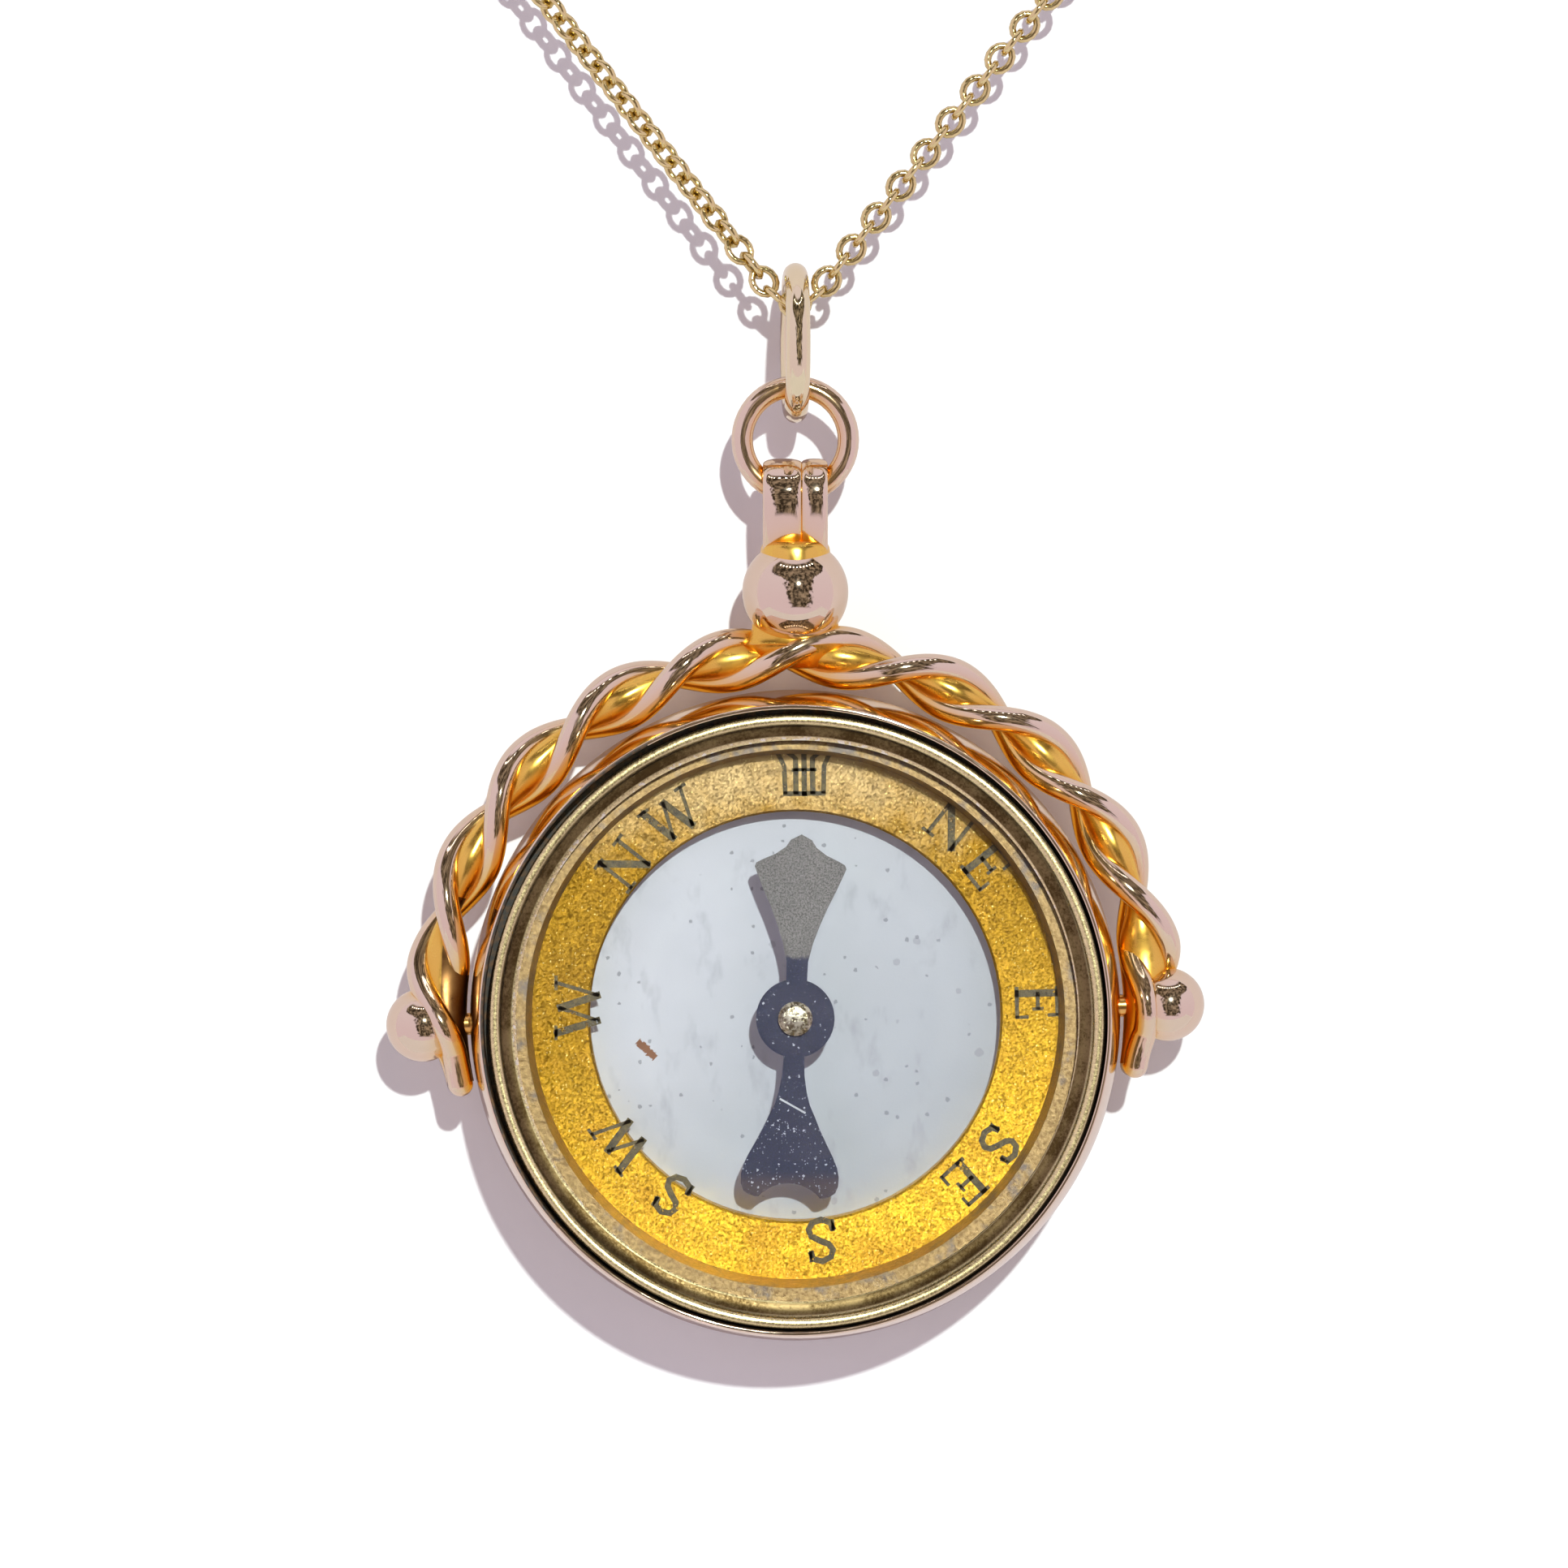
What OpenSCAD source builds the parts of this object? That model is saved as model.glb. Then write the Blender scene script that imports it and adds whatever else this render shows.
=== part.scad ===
// Compass pendant: a swivelling compass case under a twisted wire arch, hung by two rings on a fine
// neck chain. Millimetres, +Z up, front towards -Y, origin at the centre of the neck circle.

/* [Chain] */
// Length of the whole chain loop, clasp included
chain_length = 450; // [400:5:600]
// Lean of each chain leg from the vertical, in degrees
leg_angle = 37.9; // [30:0.1:45]
// Outer width of the fine chain
chain_w = 1.12; // [0.8:0.02:1.4]
// Length of the clasp's barrel
clasp_length = 9; // [6:0.5:14]
// Diameter of the clasp's barrel at its middle
clasp_d = 2.6; // [2:0.1:4]
// Wire diameter of the eyes on the clasp's ends
clasp_eye_wire = 0.44; // [0.3:0.02:0.6]
// Centre line radius of the eyes on the clasp's ends
clasp_eye_r = 0.7; // [0.6:0.05:1]

/* [Rings] */
// Centre line radius of the bail ring that runs on the chain
bail_r = 2.53; // [2.2:0.01:4]
// Wire diameter of the bail ring
bail_wire = 0.9; // [0.6:0.02:1.2]
// Turn of the bail ring away from straight edge-on, in degrees
bail_yaw = 2.5; // [0:0.5:6]
// Centre line radius of the jump ring
ring_r = 1.98; // [1.8:0.01:3]
// Wire diameter of the jump ring
ring_wire = 0.8; // [0.5:0.02:0.9]

/* [Arch] */
// Gap between the case and the twisted arch
arch_gap = 0.12; // [0.1:0.01:1.6]
// Diameter of each of the arch's two wires
rope_wire = 0.94; // [0.84:0.01:0.96]
// Distance of each wire from the arch's centre line
rope_open = 0.72; // [0.68:0.01:0.76]
// Diameter of the core that the two wires are wound and soldered round
core_d = 1.3; // [1.1:0.02:1.4]
// Full turns of the twist from one pin to the other
rope_turns = 5; // [3:1:8]
// Distance of each wire from the centre line where the pins pass between them
eye_open = 0.95; // [0.94:0.01:1.05]
// How far the wires run on below the pins, in degrees of the arch
tail_angle = 10; // [8:0.5:14]
// How far the wires' middle draws in, and they close up, from the full arch down to its tips
tail_pinch = 0.66; // [0:0.02:0.66]
// Tilt of the line of the two pins, in degrees
pin_tilt = 1.6; // [0:0.1:4]
// Diameter of the balls outside the pins
side_ball_d = 2.74; // [2.2:0.02:3.2]
// Gap between the case and the side balls
side_ball_gap = 0.41; // [0.38:0.01:0.9]

/* [Top] */
// Diameter of the ball on top of the arch
top_ball_d = 3.96; // [3.2:0.02:4.4]
// Height of the top ball's centre above the arch's centre line
top_ball_rise = 2.34; // [2.1:0.01:2.9]
// Width of the collar's skirt where it meets the arch
collar_w = 4; // [3.6:0.1:4.4]
// Depth of the collar's skirt from front to back
collar_depth = 2.2; // [1.8:0.1:2.6]
// Width of the collar where it meets the ball
collar_neck_w = 3.2; // [2.4:0.1:3.4]
// Width of the hanging loop, across both of its ribs
loop_w = 2.42; // [2:0.02:2.44]
// Share of the hanging loop's width that its left rib takes
left_rib_share = 0.6; // [0.4:0.01:0.62]
// Thickness of the hanging loop
loop_t = 0.46; // [0.36:0.02:0.5]
// Middle line radius of the hanging loop's bend
loop_r = 1.15; // [1.12:0.01:1.3]
// Width of the base that joins the loop's legs to the ball
loop_base_w = 2.64; // [2.5:0.02:2.8]
// Depth of the base under the loop's legs from front to back
loop_base_depth = 3.1; // [2.8:0.02:3.2]
// How far the loop's bend is centred below the jump ring's lowest wire
loop_drop = 0.1; // [0:0.01:0.12]

/* [Case] */
// Diameter of the ball-like case at its middle
case_d = 24.3; // [24:0.05:24.5]
// Thickness of the case from front to back
case_t = 6.6; // [6:0.1:7.4]
// Thickness of the case's wall at its middle
case_wall = 1.2; // [1:0.05:2]
// Width of the ledge under the bezel, where the front recess is wider than the bore
case_ledge = 0.6; // [0.3:0.02:0.62]
// Depth of the front recess
case_recess = 1.3; // [1:0.05:1.6]
// Thickness of the closed back
back_wall = 0.8; // [0.6:0.05:1.4]
// Width of the case's back rim round its shallow step
back_rim = 0.69; // [0.4:0.01:2.7]
// Depth of the shallow step in the back
back_step = 0.25; // [0.1:0.05:0.4]
// Diameter of the two hinge pins
pin_d = 0.84; // [0.6:0.02:0.88]

/* [Compass] */
// Gap round the brass capsule's cup in its bore
capsule_gap = 0.1; // [0.06:0.01:0.3]
// Wall thickness of the capsule's cup
capsule_wall = 0.3; // [0.2:0.02:0.36]
// Thickness of the capsule's floor
capsule_floor = 0.4; // [0.3:0.05:0.8]
// Gap round the bezel in the front recess
bezel_gap = 0.15; // [0.08:0.01:0.3]
// Width of the round bead on the bezel's rim
bead_w = 0.4; // [0.3:0.02:0.5]
// How far the bezel's bead lies below the case's front edge
bezel_drop = 0.08; // [0:0.02:0.3]
// Depth from the bezel's bead down to its inner edge
bezel_slope = 0.5; // [0.3:0.05:0.6]
// Thickness of the glass
glass_t = 0.4; // [0.3:0.05:0.5]
// Rise of the glass dome
glass_rise = 0.5; // [0.2:0.05:0.6]
// Depth of the glass's edge below the case's front edge
glass_drop = 0.75; // [0.7:0.05:0.9]
// Width of the plain ring between the glass and the letter ring
spacer_w = 0.7; // [0.4:0.05:1]
// Depth of the letter ring's face below the case's front edge
letter_depth = 2.4; // [2.2:0.05:2.6]
// Height of the letter ring above the dial
letter_rise = 1; // [0.4:0.05:1.2]
// Width of the letter ring
letter_w = 2.85; // [1.5:0.05:3.1]
// Thickness of the dial
dial_t = 0.4; // [0.2:0.05:0.6]

/* [Needle] */
// Turn of the needle from straight up, in degrees
needle_turn = 2; // [-20:0.1:20]
// Length of the pointed half of the needle from the pivot
north_l = 6.84; // [5:0.02:7]
// Half width of the pointed half at its shoulders
north_w = 1.7; // [1:0.05:2]
// Length of the notched half of the needle from the pivot
south_l = 6.66; // [5:0.02:7.1]
// Half width of the notched half at its lobes
south_w = 1.82; // [1:0.02:2]
// Half width of the arc notch in the tail
notch_w = 1.15; // [0.5:0.05:1.2]
// Depth of the arc notch in the tail
notch_d = 0.52; // [0.2:0.02:0.8]
// Half width of the needle's two necks
neck_w = 0.39; // [0.34:0.01:0.6]
// Thickness of the needle
needle_t = 0.15; // [0.1:0.01:0.25]
// Radius of the disc in the middle of the needle
hub_r = 1.46; // [1:0.02:1.8]
// Diameter of the cap on the needle
cap_d = 1.27; // [1:0.01:1.6]
// Height of the cap above the needle
cap_h = 0.35; // [0.2:0.01:0.4]
// Height of the needle above the dial
needle_rise = 1.8; // [1.5:0.05:1.9]
// Diameter of the pivot's tip
post_tip_d = 0.24; // [0.16:0.02:0.3]
// Diameter of the pivot's foot
post_foot_d = 1; // [0.6:0.05:1.6]

/* [Hidden] */

// Clearances
wire_gap = 0.06;
pin_gap = 0.05;
seat_gap = 0.03;
bite = 0.12;
rib_merge = 0.08;
over = 1;

// The neck circle and the chain's bend under the bail ring
bend_r = chain_w / 2 + bail_wire / 2 + wire_gap;
leg_rad = leg_angle * PI / 180;
loop_share = PI + 2 * leg_rad + 2 / tan(leg_angle);
neck_r = (chain_length + 2 * bend_r / tan(leg_angle) - bend_r * (PI - 2 * leg_rad)) / loop_share;
eye_x = clasp_length / 2 + clasp_eye_r + clasp_eye_wire / 2 - bite;
clasp_reach = eye_x + clasp_eye_r + clasp_eye_wire / 2 + seat_gap;
clasp_share = asin(clasp_reach / neck_r);
clasp_z = neck_r * cos(clasp_share);

// The arch and its balls, from the case outwards
arch_r = case_d / 2 + arch_gap + rope_wire / 2 + rope_open;
side_ball_x = case_d / 2 + side_ball_gap + side_ball_d / 2;
top_ball_z = arch_r + top_ball_rise;

// Heights, from the chain down to the case
bail_top_z = (bend_r - neck_r) / sin(leg_angle);
bail_z = bail_top_z - bail_r;
bail_low_z = bail_z - bail_r;
ring_top_z = bail_low_z + bail_wire / 2 + ring_wire / 2 + wire_gap;
ring_z = ring_top_z - ring_r;
ring_low_z = ring_z - ring_r;
loop_z = ring_low_z - loop_drop;
loop_above_ball = 1.62;
loop_sink = 1.4;
loop_base_low = 1.05;
loop_base_h = 0.5;
left_rib_w = loop_w * left_rib_share + rib_merge / 2;
right_rib_w = loop_w - left_rib_w + rib_merge;
case_z = loop_z - loop_above_ball - top_ball_d / 2 - top_ball_z;

// Diameters that follow the case's
case_bore_d = case_d - 2 * case_wall;
case_recess_d = case_bore_d + 2 * case_ledge;
capsule_d = case_bore_d - 2 * capsule_gap;
bezel_d = case_recess_d - 2 * bezel_gap;

// Places along the case's axis, forwards from its middle
front = case_t / 2;
back_step_d = 2 * sqrt(pow(case_d / 2, 2) - pow(front, 2)) - 2 * back_rim;
bezel_f = front - bezel_drop - bead_w / 2;
flange_f = front - case_recess + seat_gap;
glass_r = capsule_d / 2 - capsule_wall - pin_gap;
glass_f = front - glass_drop;
letter_f = front - letter_depth;
dial_f = letter_f - letter_rise;
needle_f = dial_f + needle_rise;
hub_hole_r = cap_d / 4;

// Table columns along each half of the needle: share of the length, share of the half width
NORTH = [[0.24, 0.0], [0.31, 0.01], [0.41, 0.13], [0.51, 0.31], [0.61, 0.52], [0.7, 0.74], [0.79, 0.94],
    [0.82, 1.0], [0.84, 0.96], [0.86, 0.77], [0.89, 0.43], [0.93, 0.14], [0.97, 0.0]];
SOUTH = [[0.24, 0.0], [0.32, 0.02], [0.41, 0.09], [0.48, 0.18], [0.55, 0.33], [0.62, 0.47], [0.7, 0.66],
    [0.77, 0.83], [0.83, 0.95], [0.88, 1.0], [0.93, 0.99], [0.97, 0.92], [0.99, 0.78], [1.0, 0.62]];

// The core's run, in degrees from the pins, its slimming to the tips and its widening round the pins
core_leaves = 18;
core_seats = 8;
core_slim = 0.35;
core_eye = 0.45;

tube_sides = 8;
rope_sides = 28;
rope_rings = 90;
tip_rings = 4;
rib_sides = 12;
rib_steps = 12;
round_fn = 96;

function unit(v) = v / norm(v);
function ease(s) = let (c = max(0, min(1, s))) c * c * (3 - 2 * c);

// One ring of n points round p, an oval of half widths ru along u and rv along v
function ring_points(p, u, v, ru, rv, n) =
    [for (k = [0:n - 1]) p + ru * cos(360 * k / n) * u + rv * sin(360 * k / n) * v];

// Triangles over m rings of n points, with both ends closed
function sweep_faces(m, n) = concat(
    [for (i = [0:m - 2], k = [0:n - 1]) [i * n + k, (i + 1) * n + k, (i + 1) * n + (k + 1) % n]],
    [for (i = [0:m - 2], k = [0:n - 1]) [i * n + k, (i + 1) * n + (k + 1) % n, i * n + (k + 1) % n]],
    [for (k = [1:n - 2]) [0, k, k + 1]],
    [for (k = [1:n - 2]) [(m - 1) * n, (m - 1) * n + k + 1, (m - 1) * n + k]]
);

// Point on a circle in the XZ plane
function on_circle(r, a, z) = [r * cos(a), 0, z + r * sin(a)];

// The chain's centre line: neck arc, leg, bend, leg, neck arc
neck_steps = 20;
bend_steps = 10;
function chain_route() = concat(
    [for (i = [0:neck_steps]) on_circle(neck_r, 90 - clasp_share - (90 - clasp_share + leg_angle) * i / neck_steps, 0)],
    [for (i = [0:bend_steps]) on_circle(bend_r, -leg_angle - (180 - 2 * leg_angle) * i / bend_steps, bail_top_z)],
    [for (i = [0:neck_steps]) on_circle(neck_r, 180 + leg_angle - (90 - clasp_share + leg_angle) * i / neck_steps, 0)]
);

function route_tangent(p, i) = unit(p[min(i + 1, len(p) - 1)] - p[max(i - 1, 0)]);

// The twisted arch: a is degrees from the right pin, side is 0 or 1
function draw_in(a) = tail_pinch * ease(1 - (min(a, 180 - a) + tail_angle) / (2 * tail_angle));
function eye_share(a) = ease(1 - abs(min(a, 180 - a)) / tail_angle);
function twist(a) = -90 - 2 * rope_turns * max(-4, min(184, a));
function tail_share(a) = ease(-min(a, 180 - a) / tail_angle);

// A wire's place across the rope: distance from the case's middle, and place from front to back
function strand_place(a, side) = let (
    t = twist(a) + 180 * side,
    out_y = rope_open + (eye_open - rope_open) * eye_share(a) * (1 - tail_share(a))
        - (rope_open - rope_wire / 2 + 0.03) * 1.1 * tail_share(a)
) [arch_r - draw_in(a) + (rope_open - draw_in(a)) * cos(t), out_y * sin(t)];
function strand_point(a, side) = let (p = strand_place(a, side)) [p[0] * cos(a), p[1], p[0] * sin(a)];

// The core fills the rope's middle along the arch, and reaches in to the case at the pins and tips
function low_share(a) = ease((core_leaves - min(a, 180 - a)) / (core_leaves - core_seats));
function core_half(a) = core_d / 2 * (1 - core_slim * tail_share(a));
function core_outer(a) = arch_r - draw_in(a) + core_half(a);
function core_inner(a) = arch_r - core_half(a)
    - (arch_r - core_half(a) - case_d / 2 - arch_gap) * low_share(a);

// Length of a ray at angle f to the far side of an oval at p, of half widths h and turned by g; 0 where it misses
function ray_reach(f, p, g, h) = let (
    dx = cos(f - g) / h[0],
    dy = sin(f - g) / h[1],
    px = (p[0] * cos(g) + p[1] * sin(g)) / h[0],
    py = (p[1] * cos(g) - p[0] * sin(g)) / h[1],
    along = dx * px + dy * py,
    left = along * along - (dx * dx + dy * dy) * (px * px + py * py - 1)
) left <= 0 ? 0 : (along + sqrt(left)) / (dx * dx + dy * dy);

// The rope's whole outline across: the core with the two wires on it, and share shrinks it for a rounded tip
function rope_ring(a, share) = let (
    middle = arch_r - draw_in(a),
    t = twist(a),
    core = [(core_outer(a) - core_inner(a)) / 2, core_half(a) * (1 + core_eye * eye_share(a))],
    core_shift = [(core_outer(a) + core_inner(a)) / 2 - middle, 0],
    wire = [rope_wire / 2, rope_wire / 2 / cos(atan(2 * rope_turns * rope_open / arch_r))],
    places = [for (side = [0, 1]) strand_place(a, side) - [middle, 0]]
) [for (k = [0:rope_sides - 1]) let (
    f = t + 360 * k / rope_sides,
    reach = share * max(ray_reach(f, core_shift, 0, core), ray_reach(f, places[0], t, wire),
        ray_reach(f, places[1], t, wire)),
    r = middle + reach * cos(f)
) [r * cos(a), reach * sin(f), r * sin(a)]];

// One rib of the hanging loop, from the foot of its front leg over the bend to the foot of its back leg
function rib_route(x, foot) = concat(
    [[x, -loop_r, -foot]],
    [for (i = [0:rib_steps]) let (a = 180 - 180 * i / rib_steps) [x, loop_r * cos(a), loop_r * sin(a)]],
    [[x, loop_r, -foot]]
);

module sweep(rings) {
    m = len(rings);
    n = len(rings[0]);
    polyhedron(points = [for (r = rings, p = r) p], faces = sweep_faces(m, n), convexity = 10);
}

module wire_ring(r, wire) {
    rotate_extrude($fn = round_fn)
        translate([r, 0])
            circle(d = wire, $fn = 32);
}

// Turns a piece drawn along +Z so that its +Z points to the front
module facing() {
    translate([0, 0, case_z])
        rotate([90, 0, 0])
            children();
}

module chain() {
    route = chain_route();
    color("goldenrod")
        sweep([for (i = [0:len(route) - 1]) let (t = route_tangent(route, i))
            ring_points(route[i], [0, 1, 0], cross(t, [0, 1, 0]), chain_w / 2, chain_w / 2, tube_sides)]);
}

module clasp() {
    color("gold")
        translate([0, 0, clasp_z]) {
            rotate([0, 90, 0])
                rotate_extrude($fn = round_fn)
                    polygon([[0, -clasp_length / 2], [clasp_d / 3, -clasp_length / 2],
                        [clasp_d / 2, -clasp_length / 4], [clasp_d / 2, clasp_length / 4],
                        [clasp_d / 3, clasp_length / 2], [0, clasp_length / 2]]);
            for (s = [-1, 1])
                translate([s * eye_x, 0, 0])
                    rotate([90, 0, 0])
                        wire_ring(clasp_eye_r, clasp_eye_wire);
        }
}

module bail_ring() {
    color("palegoldenrod")
        translate([0, 0, bail_z])
            rotate([0, 90, bail_yaw])
                wire_ring(bail_r, bail_wire);
}

module jump_ring() {
    color("rosybrown")
        translate([0, 0, ring_z])
            rotate([90, 0, 0])
                wire_ring(ring_r, ring_wire);
}

// The rope of two wires on their core, from tip to tip, with both tips rounded
module rope() {
    tip = rope_wire / 2 / arch_r * 180 / PI;
    turn = 90 / (tip_rings + 1);
    sweep(concat(
        [for (i = [tip_rings:-1:1]) rope_ring(-tail_angle - tip * sin(turn * i), cos(turn * i))],
        [for (i = [0:rope_rings]) rope_ring(-tail_angle + (180 + 2 * tail_angle) * i / rope_rings, 1)],
        [for (i = [1:tip_rings]) rope_ring(180 + tail_angle + tip * sin(turn * i), cos(turn * i))]
    ));
}

// The blind hole that each pin stands in, from the rope's inner side to the ball
module pin_bores() {
    for (s = [-1, 1])
        rotate([0, s * 90, 0])
            translate([0, 0, case_d / 2])
                cylinder(d = pin_d + 2 * pin_gap, h = side_ball_gap, $fn = 48);
}

// A ball soldered between the two wires outside each pin
module side_balls() {
    solder_d = 0.6;
    for (s = [-1, 1]) {
        middle = [s * side_ball_x, 0, 0];
        translate(middle)
            sphere(d = side_ball_d, $fn = 24);
        for (side = [0, 1], lean = [-2, 2])
            hull()
                for (share = [0, 0.5])
                    translate(strand_point(90 - s * 90 + lean, side) * (1 - share) + middle * share)
                        sphere(d = solder_d, $fn = 13);
    }
}

// One rib of the hanging loop: a flat oval bar bent over the jump ring and down into the ball
module loop_rib(x, rib_w) {
    route = rib_route(x, loop_above_ball + loop_sink);
    translate([0, 0, loop_z - case_z])
        sweep([for (i = [0:len(route) - 1]) let (t = route_tangent(route, i))
            ring_points(route[i], [1, 0, 0], cross(t, [1, 0, 0]), rib_w / 2, loop_t / 2, rib_sides)]);
}

// The collar's oval skirt, from among the arch's wires up to the ball
module collar() {
    base_z = arch_r;
    neck_z = top_ball_z - sqrt(pow(top_ball_d / 2, 2) - pow(collar_neck_w / 2, 2)) + bite;
    rise = neck_z - base_z;
    slim = (collar_w - collar_neck_w) / 2;
    edge_share = 0.3;
    root = 0.5;
    translate([0, 0, base_z])
        scale([1, collar_depth / collar_w, 1])
            rotate_extrude($fn = 36)
                polygon(concat([[0, -root], [collar_w / 4, -root]],
                    [for (i = [0:5]) [collar_w / 2 - slim * sin(18 * i),
                        rise * (edge_share + (1 - edge_share) * (1 - cos(18 * i)))]],
                    [[0, rise]]));
}

module arch() {
    color("rosybrown")
        translate([0, 0, case_z]) {
            rotate([0, -pin_tilt, 0])
                union() {
                    difference() {
                        rope();
                        pin_bores();
                    }
                    side_balls();
                }
            collar();
            translate([0, 0, top_ball_z])
                sphere(d = top_ball_d, $fn = 34);
            translate([0, 0, top_ball_z + loop_base_low])
                scale([1, loop_base_depth / loop_base_w, 1])
                    cylinder(d1 = loop_base_w, d2 = loop_base_w * 0.9, h = loop_base_h, $fn = 36);
            loop_rib((left_rib_w - loop_w) / 2, left_rib_w);
            loop_rib((loop_w - right_rib_w) / 2, right_rib_w);
        }
}

// A hinge pin from inside the case's wall out to the ball
module hinge_pin(side) {
    inner = case_bore_d / 2 + seat_gap;
    outer = side_ball_x - side_ball_d / 2 - seat_gap;
    color("gold")
        translate([0, 0, case_z])
            rotate([0, -pin_tilt, 0])
                rotate([0, side * 90, 0])
                    translate([0, 0, inner])
                        cylinder(d = pin_d, h = outer - inner, $fn = 48);
}

module pin_left() {
    hinge_pin(-1);
}

module pin_right() {
    hinge_pin(1);
}

module case() {
    color("rosybrown")
        facing()
            difference() {
                intersection() {
                    sphere(d = case_d, $fn = 160);
                    cylinder(d = case_d + over, h = case_t, center = true, $fn = round_fn);
                }
                translate([0, 0, back_wall - front])
                    cylinder(d = case_bore_d, h = case_t, $fn = round_fn);
                translate([0, 0, front - case_recess])
                    cylinder(d = case_recess_d, h = case_recess + over, $fn = round_fn);
                translate([0, 0, -front - over])
                    cylinder(d = back_step_d, h = over + back_step, $fn = round_fn);
                rotate([0, 90, pin_tilt])
                    cylinder(d = pin_d + 2 * pin_gap, h = case_d + over, center = true, $fn = 48);
            }
}

module capsule() {
    inner = capsule_d / 2 - capsule_wall;
    floor_f = dial_f - dial_t - seat_gap;
    bead_r = bezel_d / 2 - bead_w / 2;
    color("darkkhaki")
        facing()
            rotate_extrude($fn = round_fn) {
                polygon([[0, floor_f - capsule_floor], [capsule_d / 2, floor_f - capsule_floor],
                    [capsule_d / 2, flange_f], [bezel_d / 2, flange_f], [bezel_d / 2, bezel_f],
                    [bezel_d / 2 - bead_w, bezel_f], [inner + 0.06, bezel_f - bezel_slope + 0.06],
                    [inner, bezel_f - bezel_slope], [inner, floor_f], [0, floor_f]]);
                translate([bead_r, bezel_f])
                    circle(d = bead_w, $fn = 32);
            }
}

module glass() {
    steps = 8;
    dome = [for (i = [0:steps]) [glass_r * i / steps, glass_rise * (1 - pow(i / steps, 2))]];
    color("lightcyan", 0.3)
        facing()
            translate([0, 0, glass_f])
                rotate_extrude($fn = round_fn)
                    polygon(concat(dome, [for (i = [steps:-1:0]) dome[i] - [0, glass_t]]));
}

module spacer_ring() {
    low = letter_f + seat_gap;
    high = glass_f - glass_t - seat_gap;
    color("tan")
        facing()
            rotate_extrude($fn = round_fn)
                polygon([[glass_r - spacer_w, low], [glass_r, low], [glass_r, high],
                    [glass_r - spacer_w * 0.7, high]]);
}

module letter_ring() {
    bevel = 0.08;
    inner = glass_r - letter_w;
    low = dial_f + seat_gap;
    color("goldenrod")
        facing()
            rotate_extrude($fn = round_fn)
                polygon([[inner, low], [glass_r, low], [glass_r, letter_f], [inner + bevel, letter_f],
                    [inner, letter_f - bevel]]);
}

module dial() {
    color("gainsboro")
        facing()
            translate([0, 0, dial_f - dial_t])
                cylinder(r = glass_r, h = dial_t, $fn = round_fn);
}

module post() {
    foot_h = 0.3;
    color("silver")
        facing()
            translate([0, 0, dial_f + seat_gap]) {
                cylinder(d = post_foot_d, h = foot_h, $fn = 32);
                cylinder(d = post_tip_d, h = needle_rise, $fn = 32);
            }
}

// The outline of one half of the needle, up one side and down the other; way is 1 upwards or -1 downwards
function half_side(table, l, w, way) = [for (r = table) [neck_w + (w - neck_w) * r[1], way * l * r[0]]];
function mirrored(half) = [for (i = [len(half) - 1:-1:0]) [-half[i][0], half[i][1]]];
function needle_outline() = let (
    north = half_side(NORTH, north_l, north_w, 1),
    south = half_side(SOUTH, south_l, south_w, -1)
) concat(north, [[0, north_l]], mirrored(north), [for (i = [0:len(south) - 1]) [-south[i][0], south[i][1]]],
    [for (i = [len(south) - 1:-1:0]) south[i]]);

module needle() {
    notch_r = (notch_w * notch_w + notch_d * notch_d) / (2 * notch_d);
    color("slategray")
        facing()
            translate([0, 0, needle_f])
                rotate([0, 0, -needle_turn])
                    difference() {
                        union() {
                            cylinder(r = hub_r, h = needle_t, $fn = 64);
                            linear_extrude(height = needle_t)
                                polygon(needle_outline());
                        }
                        translate([0, notch_d - notch_r - south_l, -over])
                            cylinder(r = notch_r, h = needle_t + 2 * over, $fn = 64);
                        translate([0, 0, -over])
                            cylinder(r = hub_hole_r, h = needle_t + 2 * over, $fn = 32);
                    }
}

// The cap sits on the needle, and its neck goes down through the hub round the pivot's tip
module needle_cap() {
    bore = post_tip_d / 2 + pin_gap;
    neck = hub_hole_r - seat_gap;
    roof = seat_gap + 0.12;
    color("darkgoldenrod")
        facing()
            translate([0, 0, needle_f])
                rotate_extrude($fn = 48)
                    polygon([[bore, 0], [neck, 0], [neck, needle_t + seat_gap], [cap_d / 2, needle_t + seat_gap],
                        [cap_d / 2, needle_t + cap_h * 0.5], [cap_d * 0.36, needle_t + cap_h * 0.85],
                        [cap_d * 0.15, needle_t + cap_h], [0, needle_t + cap_h], [0, roof], [bore, roof]]);
}

chain();
clasp();
bail_ring();
jump_ring();
arch();
pin_left();
pin_right();
case();
capsule();
glass();
spacer_ring();
letter_ring();
dial();
post();
needle();
needle_cap();
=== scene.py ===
from math import asin, copysign, cos, pi, radians, sin, sqrt, tan

import bpy
from bpy.props import (BoolProperty, FloatProperty, FloatVectorProperty, IntProperty,
                       PointerProperty)
from mathutils import Matrix, Vector


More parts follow.
